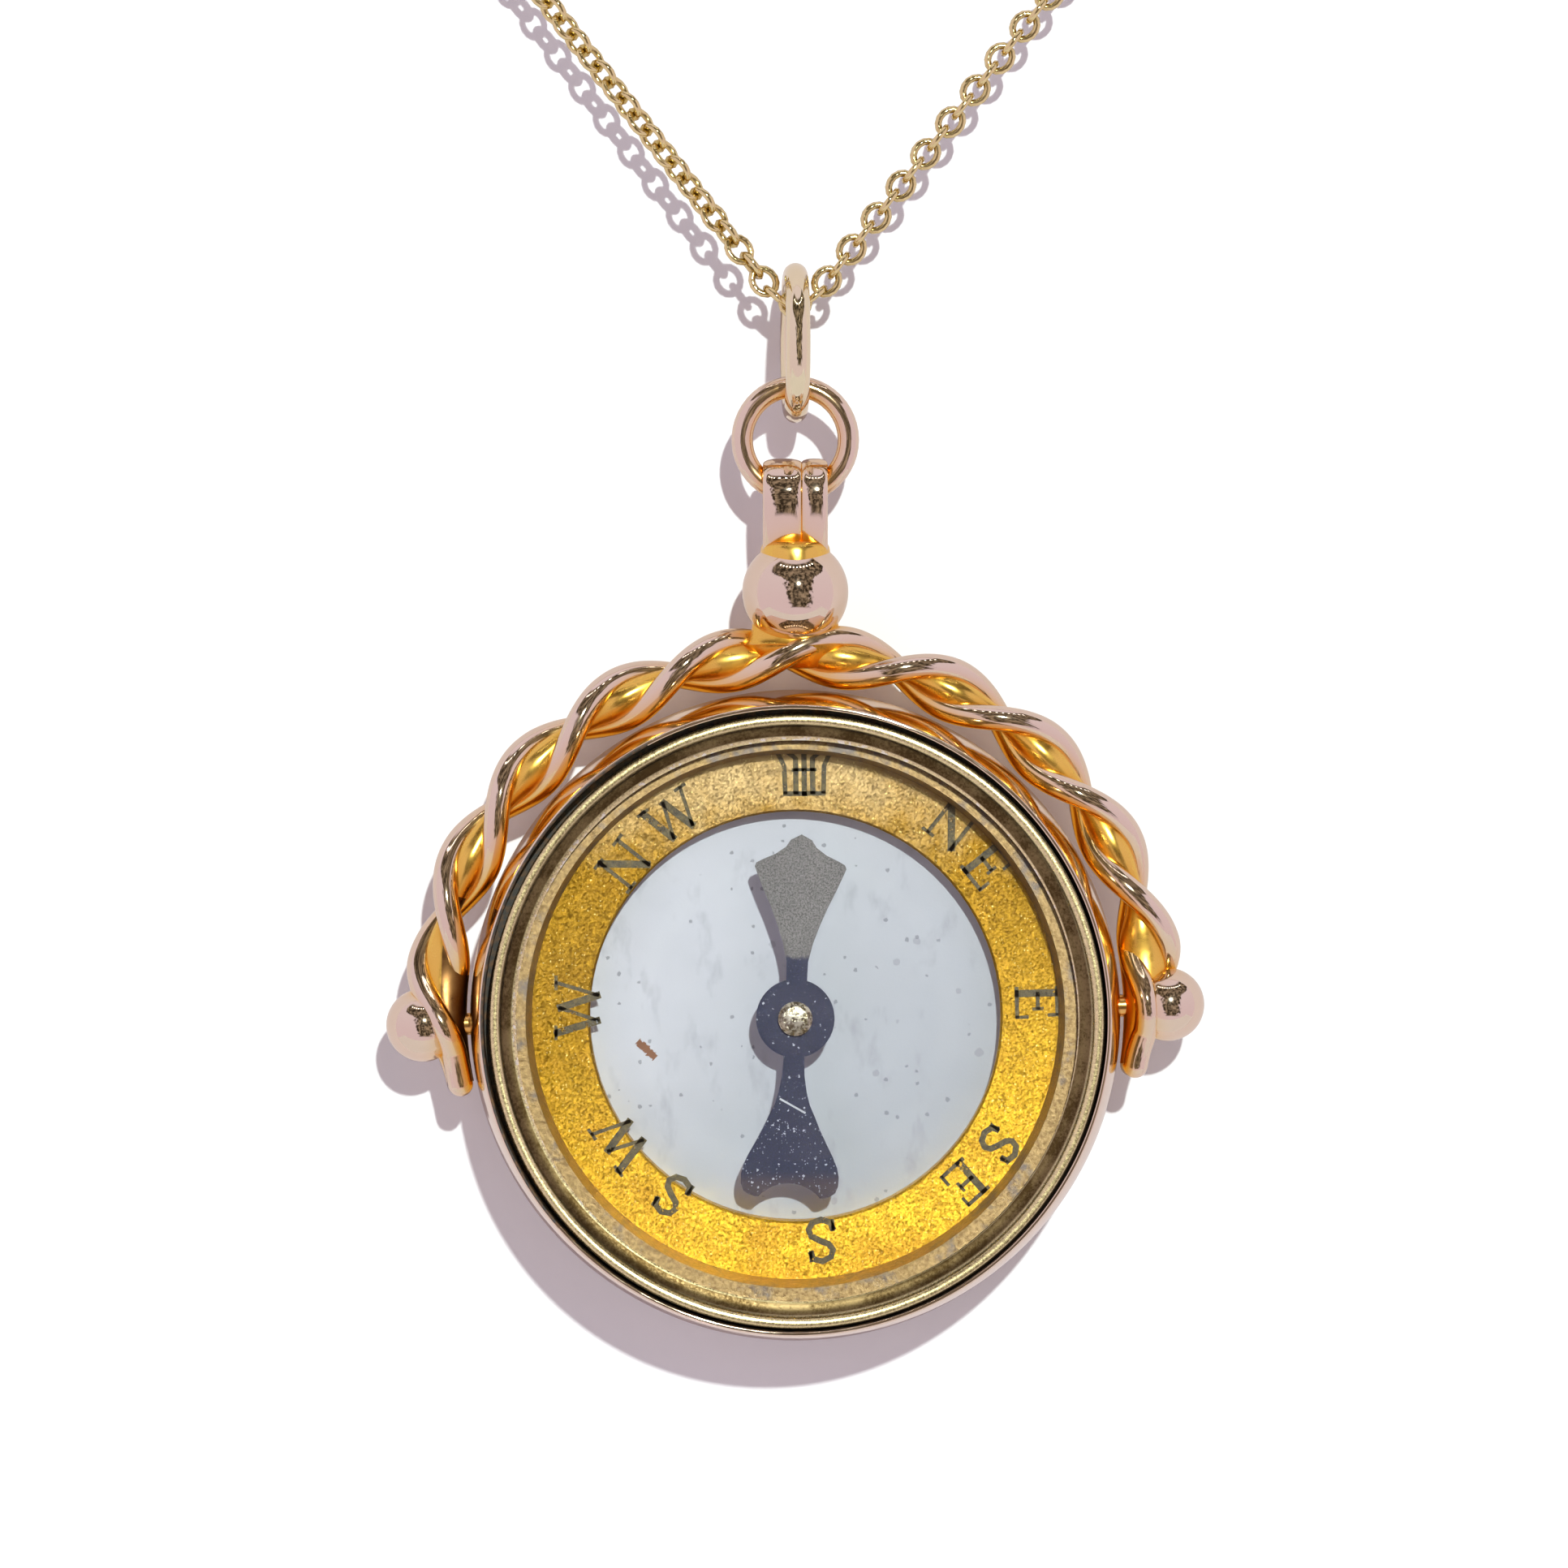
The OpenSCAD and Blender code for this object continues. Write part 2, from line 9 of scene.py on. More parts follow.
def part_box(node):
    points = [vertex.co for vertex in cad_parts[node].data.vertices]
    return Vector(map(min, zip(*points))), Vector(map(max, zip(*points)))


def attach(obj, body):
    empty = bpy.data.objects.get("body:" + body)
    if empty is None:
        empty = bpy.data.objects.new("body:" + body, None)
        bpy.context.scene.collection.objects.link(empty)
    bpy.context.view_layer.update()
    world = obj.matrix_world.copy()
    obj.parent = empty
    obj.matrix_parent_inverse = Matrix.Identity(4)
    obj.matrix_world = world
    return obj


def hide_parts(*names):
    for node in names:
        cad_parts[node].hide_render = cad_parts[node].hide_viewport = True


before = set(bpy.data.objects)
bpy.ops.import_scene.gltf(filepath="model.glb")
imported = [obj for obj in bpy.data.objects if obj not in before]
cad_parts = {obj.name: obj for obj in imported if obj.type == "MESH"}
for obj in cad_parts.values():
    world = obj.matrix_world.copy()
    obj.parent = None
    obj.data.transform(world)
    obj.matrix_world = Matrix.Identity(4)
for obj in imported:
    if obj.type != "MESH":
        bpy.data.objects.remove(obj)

bl_info = {
    "name": "Compass Pendant",
    "version": (1, 0, 0),
    "blender": (4, 5, 0),
    "location": "View3D > Sidebar > Pendant",
    "description": "Dresses a swivelling compass fob and its neck chain",
    "category": "Object",
}

MM = 0.001
CASE_LOW, CASE_HIGH = (Vector(c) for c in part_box("case"))
CASE_Z = (CASE_LOW.z + CASE_HIGH.z) / 2
CASE_MIDDLE = Vector((0, 0, CASE_Z))
PIN_TILT = radians(1.6)
RING_LOW_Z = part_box("jump_ring")[0][2] + 0.4 * MM
AXIS = 0.0001  # radius of a profile's points on its axis, in millimetres
LEFT_LIP_SHADE = range(63, 118)  # the case's sides, out of CASE_SIDES, where painted shade reaches over the lip's rounded edge
CASE_SIDES = 192


# Small helpers for curves and meshes

def ease(share):
    """Smooth step from 0 to 1."""
    c = max(0.0, min(1.0, share))
    return c * c * (3 - 2 * c)


def turned(v, t):
    """v with its part along t taken out, at unit length."""
    return (v - t * v.dot(t)).normalized()


class Shell:
    """Points and faces gathered for one mesh."""

    def __init__(self):
        self.points = []
        self.faces = []
        self.finishes = []
        self.finish = 0

    def add(self, points, faces):
        start = len(self.points)
        self.points += [Vector(p) for p in points]
        self.faces += [tuple(start + i for i in f) for f in faces]
        self.finishes += [self.finish] * len(faces)

    def sweep(self, rings, closed=False):
        """Joins rings of as many points each into a tube, open ones with flat ends."""
        m, n = len(rings), len(rings[0])
        faces = []
        for i in range(m if closed else m - 1):
            j = (i + 1) % m
            for k in range(n):
                l = (k + 1) % n
                faces.append((i * n + k, i * n + l, j * n + l, j * n + k))
        if not closed:
            faces.append(tuple(range(n - 1, -1, -1)))
            faces.append(tuple((m - 1) * n + k for k in range(n)))
        self.add([p for ring in rings for p in ring], faces)

    def wire(self, path, radius, sides):
        """A round wire along a path, with domed ends."""
        tangents = [(path[min(i + 1, len(path) - 1)] - path[max(i - 1, 0)]).normalized()
                    for i in range(len(path))]
        side = turned(Vector((0.3, 0.8, 0.5)), tangents[0])
        dome = (0.05, 0.35, 0.6, 0.8, 0.93)

        def ring(p, u, v, r):
            return [p + r * (cos(a) * u + sin(a) * v)
                    for a in (2 * pi * k / sides for k in range(sides))]

        frames = []
        for t in tangents:
            side = turned(side, t)
            frames.append((side, t.cross(side)))
        rings = [ring(path[0] - tangents[0] * radius * cos(asin(s)), *frames[0], radius * s)
                 for s in dome]
        rings += [ring(p, *f, radius) for p, f in zip(path, frames)]
        rings += [ring(path[-1] + tangents[-1] * radius * cos(asin(s)), *frames[-1], radius * s)
                  for s in reversed(dome)]
        self.sweep(rings)

    def ball(self, middle, radius, columns=48, rows=28):
        """A ball with its poles along Z."""
        rings = []
        for i in range(rows + 1):
            e = pi * (i + 0.02) / (rows + 0.04) - pi / 2
            rings.append([middle + radius * Vector((cos(e) * cos(a), cos(e) * sin(a), sin(e)))
                          for a in (2 * pi * k / columns for k in range(columns))])
        self.sweep(rings)

    def lathe(self, profile, middle, axis, sides, flat=1.0):
        """Turns a closed profile of (radius, height) pairs in millimetres about an axis."""
        axis = axis.normalized()
        u = turned(Vector((1, 0.001, 0)), axis)
        v = axis.cross(u)
        rings = []
        for k in range(sides):
            a = 2 * pi * k / sides
            out = cos(a) * u + flat * sin(a) * v
            rings.append([middle + (out * r + axis * h) * MM for r, h in profile])
        n = len(profile)
        faces = []
        for k in range(sides):
            l = (k + 1) % sides
            for i in range(n):
                j = (i + 1) % n
                faces.append((k * n + i, l * n + i, l * n + j, k * n + j))
        self.add([p for ring in rings for p in ring], faces)

    def build(self, name, body, slot, *materials, smooth_angle=None):
        """Makes the object, gives it its finishes and lets it ride on its body."""
        mesh = bpy.data.meshes.new(name)
        mesh.from_pydata(self.points, [], self.faces)
        for material in materials:
            mesh.materials.append(material)
        mesh.polygons.foreach_set("material_index", self.finishes)
        mesh.validate()
        mesh.polygons.foreach_set("use_smooth", [True] * len(mesh.polygons))
        if smooth_angle is not None:
            mesh.set_sharp_from_angle(angle=radians(smooth_angle))
        mesh.update()
        obj = bpy.data.objects.new(name, mesh)
        bpy.context.scene.collection.objects.link(obj)
        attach(obj, body)
        return obj


def rounded(corners, radii, steps=5):
    """A closed profile with each corner rounded to its own radius."""
    out = []
    n = len(corners)
    for i in range(n):
        p = Vector(corners[i])
        r = radii[i]
        if r <= 0:
            out.append(tuple(p))
            continue
        a = (Vector(corners[i - 1]) - p)
        b = (Vector(corners[(i + 1) % n]) - p)
        cut = min(r, a.length * 0.45, b.length * 0.45)
        start, end = p + a.normalized() * cut, p + b.normalized() * cut
        for k in range(steps + 1):
            t = k / steps
            out.append(tuple((1 - t) ** 2 * start + 2 * t * (1 - t) * p + t * t * end))
    return out


# Shader building

def socket(group, name, kind, way, default=None, low=None, high=None):
    s = group.interface.new_socket(name=name, in_out=way, socket_type=kind)
    if default is not None:
        s.default_value = default
    if low is not None:
        s.min_value = low
        s.max_value = high
    return s


def rgba(colour):
    """Three numbers with their alpha; a socket stays as it is."""
    return colour if isinstance(colour, bpy.types.NodeSocket) else (*colour[:3], 1.0)


class Wiring:
    """Adds and links the nodes of one tree."""

    def __init__(self, tree):
        self.tree = tree
        self.column = 0

    def add(self, kind, inputs=None, **settings):
        node = self.tree.nodes.new(kind)
        self.column += 1
        node.location = (self.column * 40, -self.column * 12)
        for key, value in settings.items():
            setattr(node, key, value)
        return self.fill(node, inputs or {})

    def fill(self, node, inputs):
        for key, value in inputs.items():
            self.put(node.inputs[key], value)
        return node

    def put(self, target, value):
        if isinstance(value, bpy.types.NodeSocket):
            self.tree.links.new(value, target)
        elif isinstance(value, bpy.types.Node):
            self.tree.links.new(value.outputs[0], target)
        else:
            target.default_value = value

    def math(self, operation, a, b=None):
        """Either operand may be a number, a socket or a node, as everywhere below."""
        values = {0: a} if b is None else {0: a, 1: b}
        return self.add("ShaderNodeMath", values, operation=operation).outputs[0]

    def plus(self, a, b):
        return self.math("ADD", a, b)

    def minus(self, a, b):
        return self.math("SUBTRACT", a, b)

    def times(self, a, b):
        return self.math("MULTIPLY", a, b)

    def within(self, value, limit):
        return self.math("LESS_THAN", self.math("ABSOLUTE", value), limit)

    def span(self, value, low, high, to_low=0.0, to_high=1.0, smooth=False):
        values = dict(enumerate((value, low, high, to_low, to_high)))
        kind = "SMOOTHSTEP" if smooth else "LINEAR"
        return self.add("ShaderNodeMapRange", values, interpolation_type=kind).outputs[0]

    def mix(self, share, a, b):
        """Blends two tones, each a socket or three numbers."""
        values = {0: share, 6: rgba(a), 7: rgba(b)}
        return self.add("ShaderNodeMix", values, data_type="RGBA").outputs[2]

    def blend(self, share, a, b):
        """Blends two shaders."""
        return self.add("ShaderNodeMixShader", {0: share, 1: a, 2: b}).outputs[0]

    def noise(self, vector, scale, detail=2.0, roughness=0.5):
        return self.add("ShaderNodeTexNoise", {"Vector": vector, "Scale": scale, "Detail": detail,
                                               "Roughness": roughness})

    def stretched(self, vector, scale, turn=(0, 0, 0)):
        return self.add("ShaderNodeMapping", {"Vector": vector, "Scale": scale,
                                              "Rotation": turn}).outputs[0]

    def vector(self, operation, a, b=None, scale=None):
        node = self.add("ShaderNodeVectorMath", {0: a}, operation=operation)
        if b is not None:
            self.put(node.inputs[1], b)
        if scale is not None:
            node.inputs["Scale"].default_value = scale
        return node.outputs[0]

    def bump(self, skin, height, strength, deep_mm):
        self.put(skin.inputs["Normal"], self.add("ShaderNodeBump", {
            "Height": height, "Strength": strength, "Distance": deep_mm * MM}))

    def spot(self, place):
        """Millimetres to the right of the case's middle, above it, and away from it."""
        about = self.add("ShaderNodeSeparateXYZ", {"Vector": place})
        x = self.times(about.outputs["X"], 1 / MM)
        up = self.times(self.minus(about.outputs["Z"], CASE_Z), 1 / MM)
        return x, up, self.math("SQRT", self.plus(self.times(x, x), self.times(up, up)))

    def dash(self, x, up, middle, turn, half_long, half_wide):
        """A straight short mark, as a mask."""
        x, up = self.minus(x, middle[0]), self.minus(up, middle[1])
        along = self.plus(self.times(x, cos(turn)), self.times(up, sin(turn)))
        across = self.minus(self.times(up, cos(turn)), self.times(x, sin(turn)))
        return self.times(self.within(along, half_long), self.within(across, half_wide))


def new_group(name):
    tree = bpy.data.node_groups.new(name, "ShaderNodeTree")
    return tree, Wiring(tree)


def polish_group():
    """Fine scratches, soft smudges and a faint unevenness of hand-polished metal."""
    tree, w = new_group("Hand polish")
    socket(tree, "Place", "NodeSocketVector", "INPUT")
    socket(tree, "Scratches", "NodeSocketFloat", "INPUT", 0.5, 0.0, 2.0)
    socket(tree, "Unevenness", "NodeSocketFloat", "INPUT", 0.5, 0.0, 4.0)
    socket(tree, "Smudge", "NodeSocketFloat", "OUTPUT")
    socket(tree, "Height", "NodeSocketFloat", "OUTPUT")
    start = w.add("NodeGroupInput")
    place = start.outputs["Place"]
    soft = w.noise(place, 900, 3.0, 0.55)
    broad = w.noise(place, 260)
    lines = []
    for turn, scale in (((0.2, 0.5, 0.9), 2600), ((1.1, -0.4, 2.1), 3400)):
        thin = w.stretched(place, (1.0, 0.06, 1.0), turn)
        lines.append(w.span(w.noise(thin, scale, 1.0), 0.62, 0.7))
    scratch = w.math("MAXIMUM", *lines)
    dent = w.times(broad, start.outputs["Unevenness"])
    cut = w.times(scratch, start.outputs["Scratches"])
    height = w.minus(dent, w.times(cut, 0.05))
    w.add("NodeGroupOutput", {"Smudge": w.span(soft, 0.4, 0.75, 0.0, 1.0, True), "Height": height})
    return tree


def crevice_shade_group():
    """Painted shade: one metal's tone on its open faces, and a deeper painted tone standing for shade and
    inter-reflection where faces look at each other.
    """
    tree, w = new_group("Painted crevice shade")
    socket(tree, "Face", "NodeSocketColor", "INPUT", (1, 1, 1, 1))
    socket(tree, "Crevice shade", "NodeSocketColor", "INPUT", (1, 1, 1, 1))
    socket(tree, "Reach", "NodeSocketFloat", "INPUT", 0.001, 0.0, 1.0)
    socket(tree, "Closed", "NodeSocketFloat", "INPUT", 0.3, 0.0, 1.0)
    socket(tree, "Open", "NodeSocketFloat", "INPUT", 0.8, 0.0, 1.0)
    socket(tree, "Colour", "NodeSocketColor", "OUTPUT")
    socket(tree, "Hidden", "NodeSocketFloat", "OUTPUT")
    start = w.add("NodeGroupInput")
    near = w.add("ShaderNodeAmbientOcclusion", {"Distance": start.outputs["Reach"]}, samples=4)
    share = w.span(near.outputs["AO"], start.outputs["Closed"], start.outputs["Open"])
    # Painted shade: the face tone turns to the deep tone as the ambient occlusion closes in.
    tone = w.mix(share, start.outputs["Crevice shade"], start.outputs["Face"])
    w.add("NodeGroupOutput", {"Colour": tone, "Hidden": w.minus(1.0, share)})
    return tree


def speck_group():
    """Small specks of dust or flaking, as a mask."""
    tree, w = new_group("Specks")
    socket(tree, "Place", "NodeSocketVector", "INPUT")
    socket(tree, "Scale", "NodeSocketFloat", "INPUT", 3000.0, 0.0, 100000.0)
    socket(tree, "Amount", "NodeSocketFloat", "INPUT", 0.3, 0.0, 1.0)
    socket(tree, "Mask", "NodeSocketFloat", "OUTPUT")
    start = w.add("NodeGroupInput")
    ragged = w.noise(start.outputs["Place"], 9000, 3.0, 0.7)
    shift = w.vector("SCALE", ragged.outputs["Color"], scale=0.16 * MM)
    moved = w.vector("ADD", start.outputs["Place"], shift)
    cells = w.add("ShaderNodeTexVoronoi", {"Vector": moved, "Scale": start.outputs["Scale"]})
    grain = w.noise(start.outputs["Place"], 1500, 2.0)
    pick = w.add("ShaderNodeSeparateColor", {"Color": cells.outputs["Color"]})
    chosen = w.math("LESS_THAN", pick, start.outputs["Amount"])
    size = w.plus(w.times(grain, 0.3), 0.05)
    dot = w.math("LESS_THAN", cells.outputs["Distance"], size)
    w.add("NodeGroupOutput", {"Mask": w.times(chosen, dot)})
    return tree


GROUPS = {}


def group(w, name, inputs):
    """Places a shared node group in a material, building it at its first use."""
    makers = {"polish": polish_group, "crevice": crevice_shade_group, "specks": speck_group}
    if name not in GROUPS:
        GROUPS[name] = makers[name]()
    return w.add("ShaderNodeGroup", inputs, node_tree=GROUPS[name])


def new_material(name):
    mat = bpy.data.materials.new(name)
    mat.use_nodes = True
    tree = mat.node_tree
    tree.nodes.clear()
    w = Wiring(tree)
    out = w.add("ShaderNodeOutputMaterial")
    skin = w.add("ShaderNodeBsdfPrincipled")
    tree.links.new(skin.outputs[0], out.inputs["Surface"])
    place = w.add("ShaderNodeTexCoord").outputs["Object"]
    return mat, w, skin, place, out


def polished_gold(name, face, deep, roughness=(0.05, 0.16), scratches=0.5, unevenness=0.5,
                  reach=0.9, hidden=(0.25, 0.75), bump=0.12):
    """Old polished gold, with painted shade and inter-reflection in a deeper tone where another face is within
    reach, in millimetres.
    """
    mat, w, skin, place, _ = new_material(name)
    polish = group(w, "polish", {"Place": place, "Scratches": scratches, "Unevenness": unevenness})
    # The argument named deep is the painted shade tone of the crevices.
    tone = group(w, "crevice", {"Face": rgba(face), "Crevice shade": rgba(deep), "Reach": reach * MM,
                                "Closed": hidden[0], "Open": hidden[1]})
    rough = w.span(polish.outputs["Smudge"], 0.0, 1.0, *roughness)
    rough = w.plus(rough, w.times(tone.outputs["Hidden"], 0.12))
    w.fill(skin, {"Base Color": tone.outputs["Colour"], "Roughness": rough, "Metallic": 1.0})
    w.bump(skin, polish.outputs["Height"], bump, 0.05)
    return mat


def paint(node, mat):
    """Gives a carried node its one material."""
    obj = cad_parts[node]
    obj.data.materials.clear()
    obj.data.materials.append(mat)


# Settings that a user would change

class ChainSettings(bpy.types.PropertyGroup):
    link_width: FloatProperty(name="Link width", description="Outer width of each link",
                              default=1.12 * MM, unit="LENGTH", precision=5)
    link_wire: FloatProperty(name="Link wire", description="Wire diameter of the links",
                             default=0.27 * MM, unit="LENGTH", precision=5)
    link_pitch: FloatProperty(name="Link pitch", description="Distance between neighbouring links",
                              default=0.75 * MM, unit="LENGTH", precision=5)
    left_turn: FloatProperty(name="Left turn", description="Twist of the left leg's links",
                             default=radians(45), subtype="ANGLE")
    colour: FloatVectorProperty(name="Chain colour", description="Tone of the chain's gold",
                                default=(0.86, 0.70, 0.36), subtype="COLOR", size=3)


class ArchSettings(bpy.types.PropertyGroup):
    wire: FloatProperty(name="Wire", description="Diameter of the two twisted wires",
                        default=0.94 * MM, unit="LENGTH", precision=5)
    spread: FloatProperty(name="Spread", description="Distance of each wire from the arch's middle line",
                          default=0.72 * MM, unit="LENGTH", precision=5)
    core: FloatProperty(name="Core", description="Mean diameter of the soldered core between the wires",
                        default=1.18 * MM, unit="LENGTH", precision=5)
    steps: IntProperty(name="Steps", description="Rings along each wire", default=300)
    face_colour: FloatVectorProperty(name="Face colour", description="Rose gold on open faces",
                                     default=(0.86, 0.70, 0.56), subtype="COLOR", size=3)
    # Painted shade: the tone the rose gold takes deep in the twist, where faces look at each other.
    crevice_shade_colour: FloatVectorProperty(name="Deep colour", description="Rose gold deep in the twist",
                                     default=(0.92, 0.56, 0.10), subtype="COLOR", size=3)


class CompassSettings(bpy.types.PropertyGroup):
    letter_height: FloatProperty(name="Letter height", description="Height of the compass letters",
                                 default=1.5 * MM, unit="LENGTH", precision=5)
    letter_stroke: FloatProperty(name="Letter stroke", description="Width of the letters' main strokes",
                                 default=0.25 * MM, unit="LENGTH", precision=5)
    dial_colour: FloatVectorProperty(name="Dial colour", description="Tone of the white dial",
                                     default=(0.70, 0.73, 0.83), subtype="COLOR", size=3)
    gilt_colour: FloatVectorProperty(name="Gilt colour", description="Tone of the gilded letter ring",
                                     default=(0.88, 0.52, 0.035), subtype="COLOR", size=3)
    brass_colour: FloatVectorProperty(name="Bezel colour", description="Tone of the greenish bezel",
                                      default=(0.96, 0.80, 0.44), subtype="COLOR", size=3)


class StageSettings(bpy.types.PropertyGroup):
    key_strength: FloatProperty(name="Key light", description="Strength of the sharp light", default=2.9)
    board_gap: FloatProperty(name="Board gap", description="Distance of the backdrop behind the case's middle",
                             default=4.2 * MM, unit="LENGTH", precision=5)
    show_board: BoolProperty(name="Backdrop", description="Puts a white board close behind the pendant",
                             default=True)


# The chain's route, as the solid tube runs

CHAIN_LENGTH = 450 * MM
LEG_ANGLE = radians(37.9)
BAIL_WIRE = 0.9 * MM
CHAIN_W = 1.12 * MM
BEND_R = CHAIN_W / 2 + BAIL_WIRE / 2 + 0.06 * MM
NECK_R = (CHAIN_LENGTH + 2 * BEND_R / tan(LEG_ANGLE) - BEND_R * (pi - 2 * LEG_ANGLE)) \
    / (pi + 2 * LEG_ANGLE + 2 / tan(LEG_ANGLE))
BEND_Z = (BEND_R - NECK_R) / sin(LEG_ANGLE)
BEND = BEND_R * (pi / 2 - LEG_ANGLE)
LEG = (NECK_R - BEND_R) / tan(LEG_ANGLE)
CLASP_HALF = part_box("clasp")[1][0]
EYE_IN, EYE_HOLE_R = 0.92 * MM, 0.48 * MM
TURN_STARTS_OVER, TURN_ENDS_OVER = 6 * MM, 30 * MM


def chain_place(s):
    """Point and direction of the chain's middle line, s metres to the right of its lowest point."""
    along = abs(s)
    straight = 0
    if along < BEND + LEG:
        a = min(along / BEND_R - pi / 2, -LEG_ANGLE)
        r, z = BEND_R, BEND_Z
        straight = max(0, along - BEND)
    else:
        a = (along - BEND - LEG) / NECK_R - LEG_ANGLE
        r, z = NECK_R, 0
    t = Vector((-sin(a), 0, cos(a)))
    p = Vector((r * cos(a), 0, z + r * sin(a))) + t * straight
    if s < 0:
        p.x, t.z = -p.x, -t.z
    return p, t


class PENDANT_OT_chain(bpy.types.Operator):
    """Makes the fine chain's links along the tube's route, and hooks them into the clasp"""
    bl_idname = "pendant.chain"
    bl_label = "Chain links"

    def execute(self, context):
        s = context.scene.pendant_chain
        # The second tone is painted shade in the links' crevices.
        gold = polished_gold("Chain gold", s.colour, (0.52, 0.36, 0.06), roughness=(0.08, 0.2),
                             scratches=0.3, reach=0.5, hidden=(0.25, 0.9))
        half_w = s.link_width / 2 - s.link_wire / 2
        half_l = s.link_pitch / 2 + s.link_wire / 2
        last_x = CLASP_HALF - EYE_IN + EYE_HOLE_R - s.link_wire / 2 + half_l
        reach = BEND + LEG + NECK_R * (LEG_ANGLE + pi / 2 - asin(last_x / NECK_R))
        count = 2 * round(reach / s.link_pitch / 2) + 1
        pitch = reach / (count - 1) if count > 1 else s.link_pitch
        shell = Shell()
        around, sides = 14, 6
        base = Vector((0, 1, 0))
        for i in range(1 - count, count):
            place = i * pitch
            p, t = chain_place(place)
            across = t.cross(base)
            turn = s.left_turn * ease(-place / TURN_STARTS_OVER)
            turn *= ease((reach + place) / TURN_ENDS_OVER)
            turn += pi / 2 * (i % 2)
            u = cos(turn) * across + sin(turn) * base
            n = t.cross(u)
            rings = []
            for k in range(around):
                a = 2 * pi * k / around
                out = cos(a) * t * half_l + sin(a) * u * half_w
                way = (cos(a) * t / half_l + sin(a) * u / half_w).normalized()
                rings.append([p + out + s.link_wire / 2 * (cos(b) * way + sin(b) * n)
                              for b in (2 * pi * j / sides for j in range(sides))])
            shell.sweep(rings, closed=True)
        links = shell.build("chain_links", "necklace", "chain_gold", gold)
        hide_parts("chain")
        return {"FINISHED"}


# The twisted arch, by the same rules as the solid, in millimetres and degrees

ARCH_R = 13.46
TAIL_ANGLE = 10
TAIL_PINCH = 0.66
EYE_OPEN = 0.95
ROPE_TURNS = 5
CORE_LEAVES, CORE_SEATS = 18, 8
CASE_EDGE = 12.15
ARCH_GAP = 0.12
SIDE_BALL_X, SIDE_BALL_R = 13.93, 1.37
TOP_BALL_Z, TOP_BALL_R = 15.8, 1.98
CORE_STEPS, CORE_SIDES = 360, 40
# Core rings and sides by the left pin, between the rope and the case, that get painted shade.
LEFT_PIN_SHADE_STEPS, LEFT_PIN_SHADE_SIDES = range(304, 360), range(9, 31)


def rope_shares(a):
    """How far the rope draws in, and its shares of tail and eye, a degrees from the right pin."""
    near = min(a, 180 - a)
    drawn = TAIL_PINCH * ease(1 - (near + TAIL_ANGLE) / (2 * TAIL_ANGLE))
    return drawn, ease(-near / TAIL_ANGLE), ease(1 - abs(near) / TAIL_ANGLE)


def twist(a, side=0):
    return radians(-90 - 2 * ROPE_TURNS * max(-4, min(184, a)) + 180 * side)


def strand_point(a, side, wire, spread):
    """Middle of a wire, in millimetres from the case's middle, a degrees from the right pin."""
    drawn, tail, eye = rope_shares(a)
    t = twist(a, side)
    out_y = spread + (EYE_OPEN - spread) * eye * (1 - tail)
    out_y -= (spread - wire / 2 + 0.03) * 1.1 * tail
    r = ARCH_R - drawn + (spread - drawn) * cos(t)
    b = radians(a)
    return Vector((r * cos(b), out_y * sin(t), r * sin(b)))


def core_ring(a, width, sides):
    """Outline of the core, swelling to a lump wherever the two wires lie above each other."""
    drawn, tail, eye = rope_shares(a)
    low = ease((CORE_LEAVES - min(a, 180 - a)) / (CORE_LEAVES - CORE_SEATS))
    lump = cos(twist(a)) ** 2 * (1 - low)
    half = width / 2 * (1 - 0.35 * tail)
    across = half * (1 - 0.4 * (1 - low) + 0.45 * lump)
    outer = ARCH_R - drawn + across
    inner = ARCH_R - across - (ARCH_R - across - CASE_EDGE - ARCH_GAP) * low
    middle, b = (outer + inner) / 2, radians(a)
    deep = half * (1 + 0.45 * eye - 0.4 * (1 - low) + 0.65 * lump)
    points = []
    for k in range(sides):
        f = 2 * pi * k / sides
        r = middle + (outer - inner) / 2 * cos(f)
        points.append(Vector((r * cos(b), deep * sin(f), r * sin(b))))
    return points


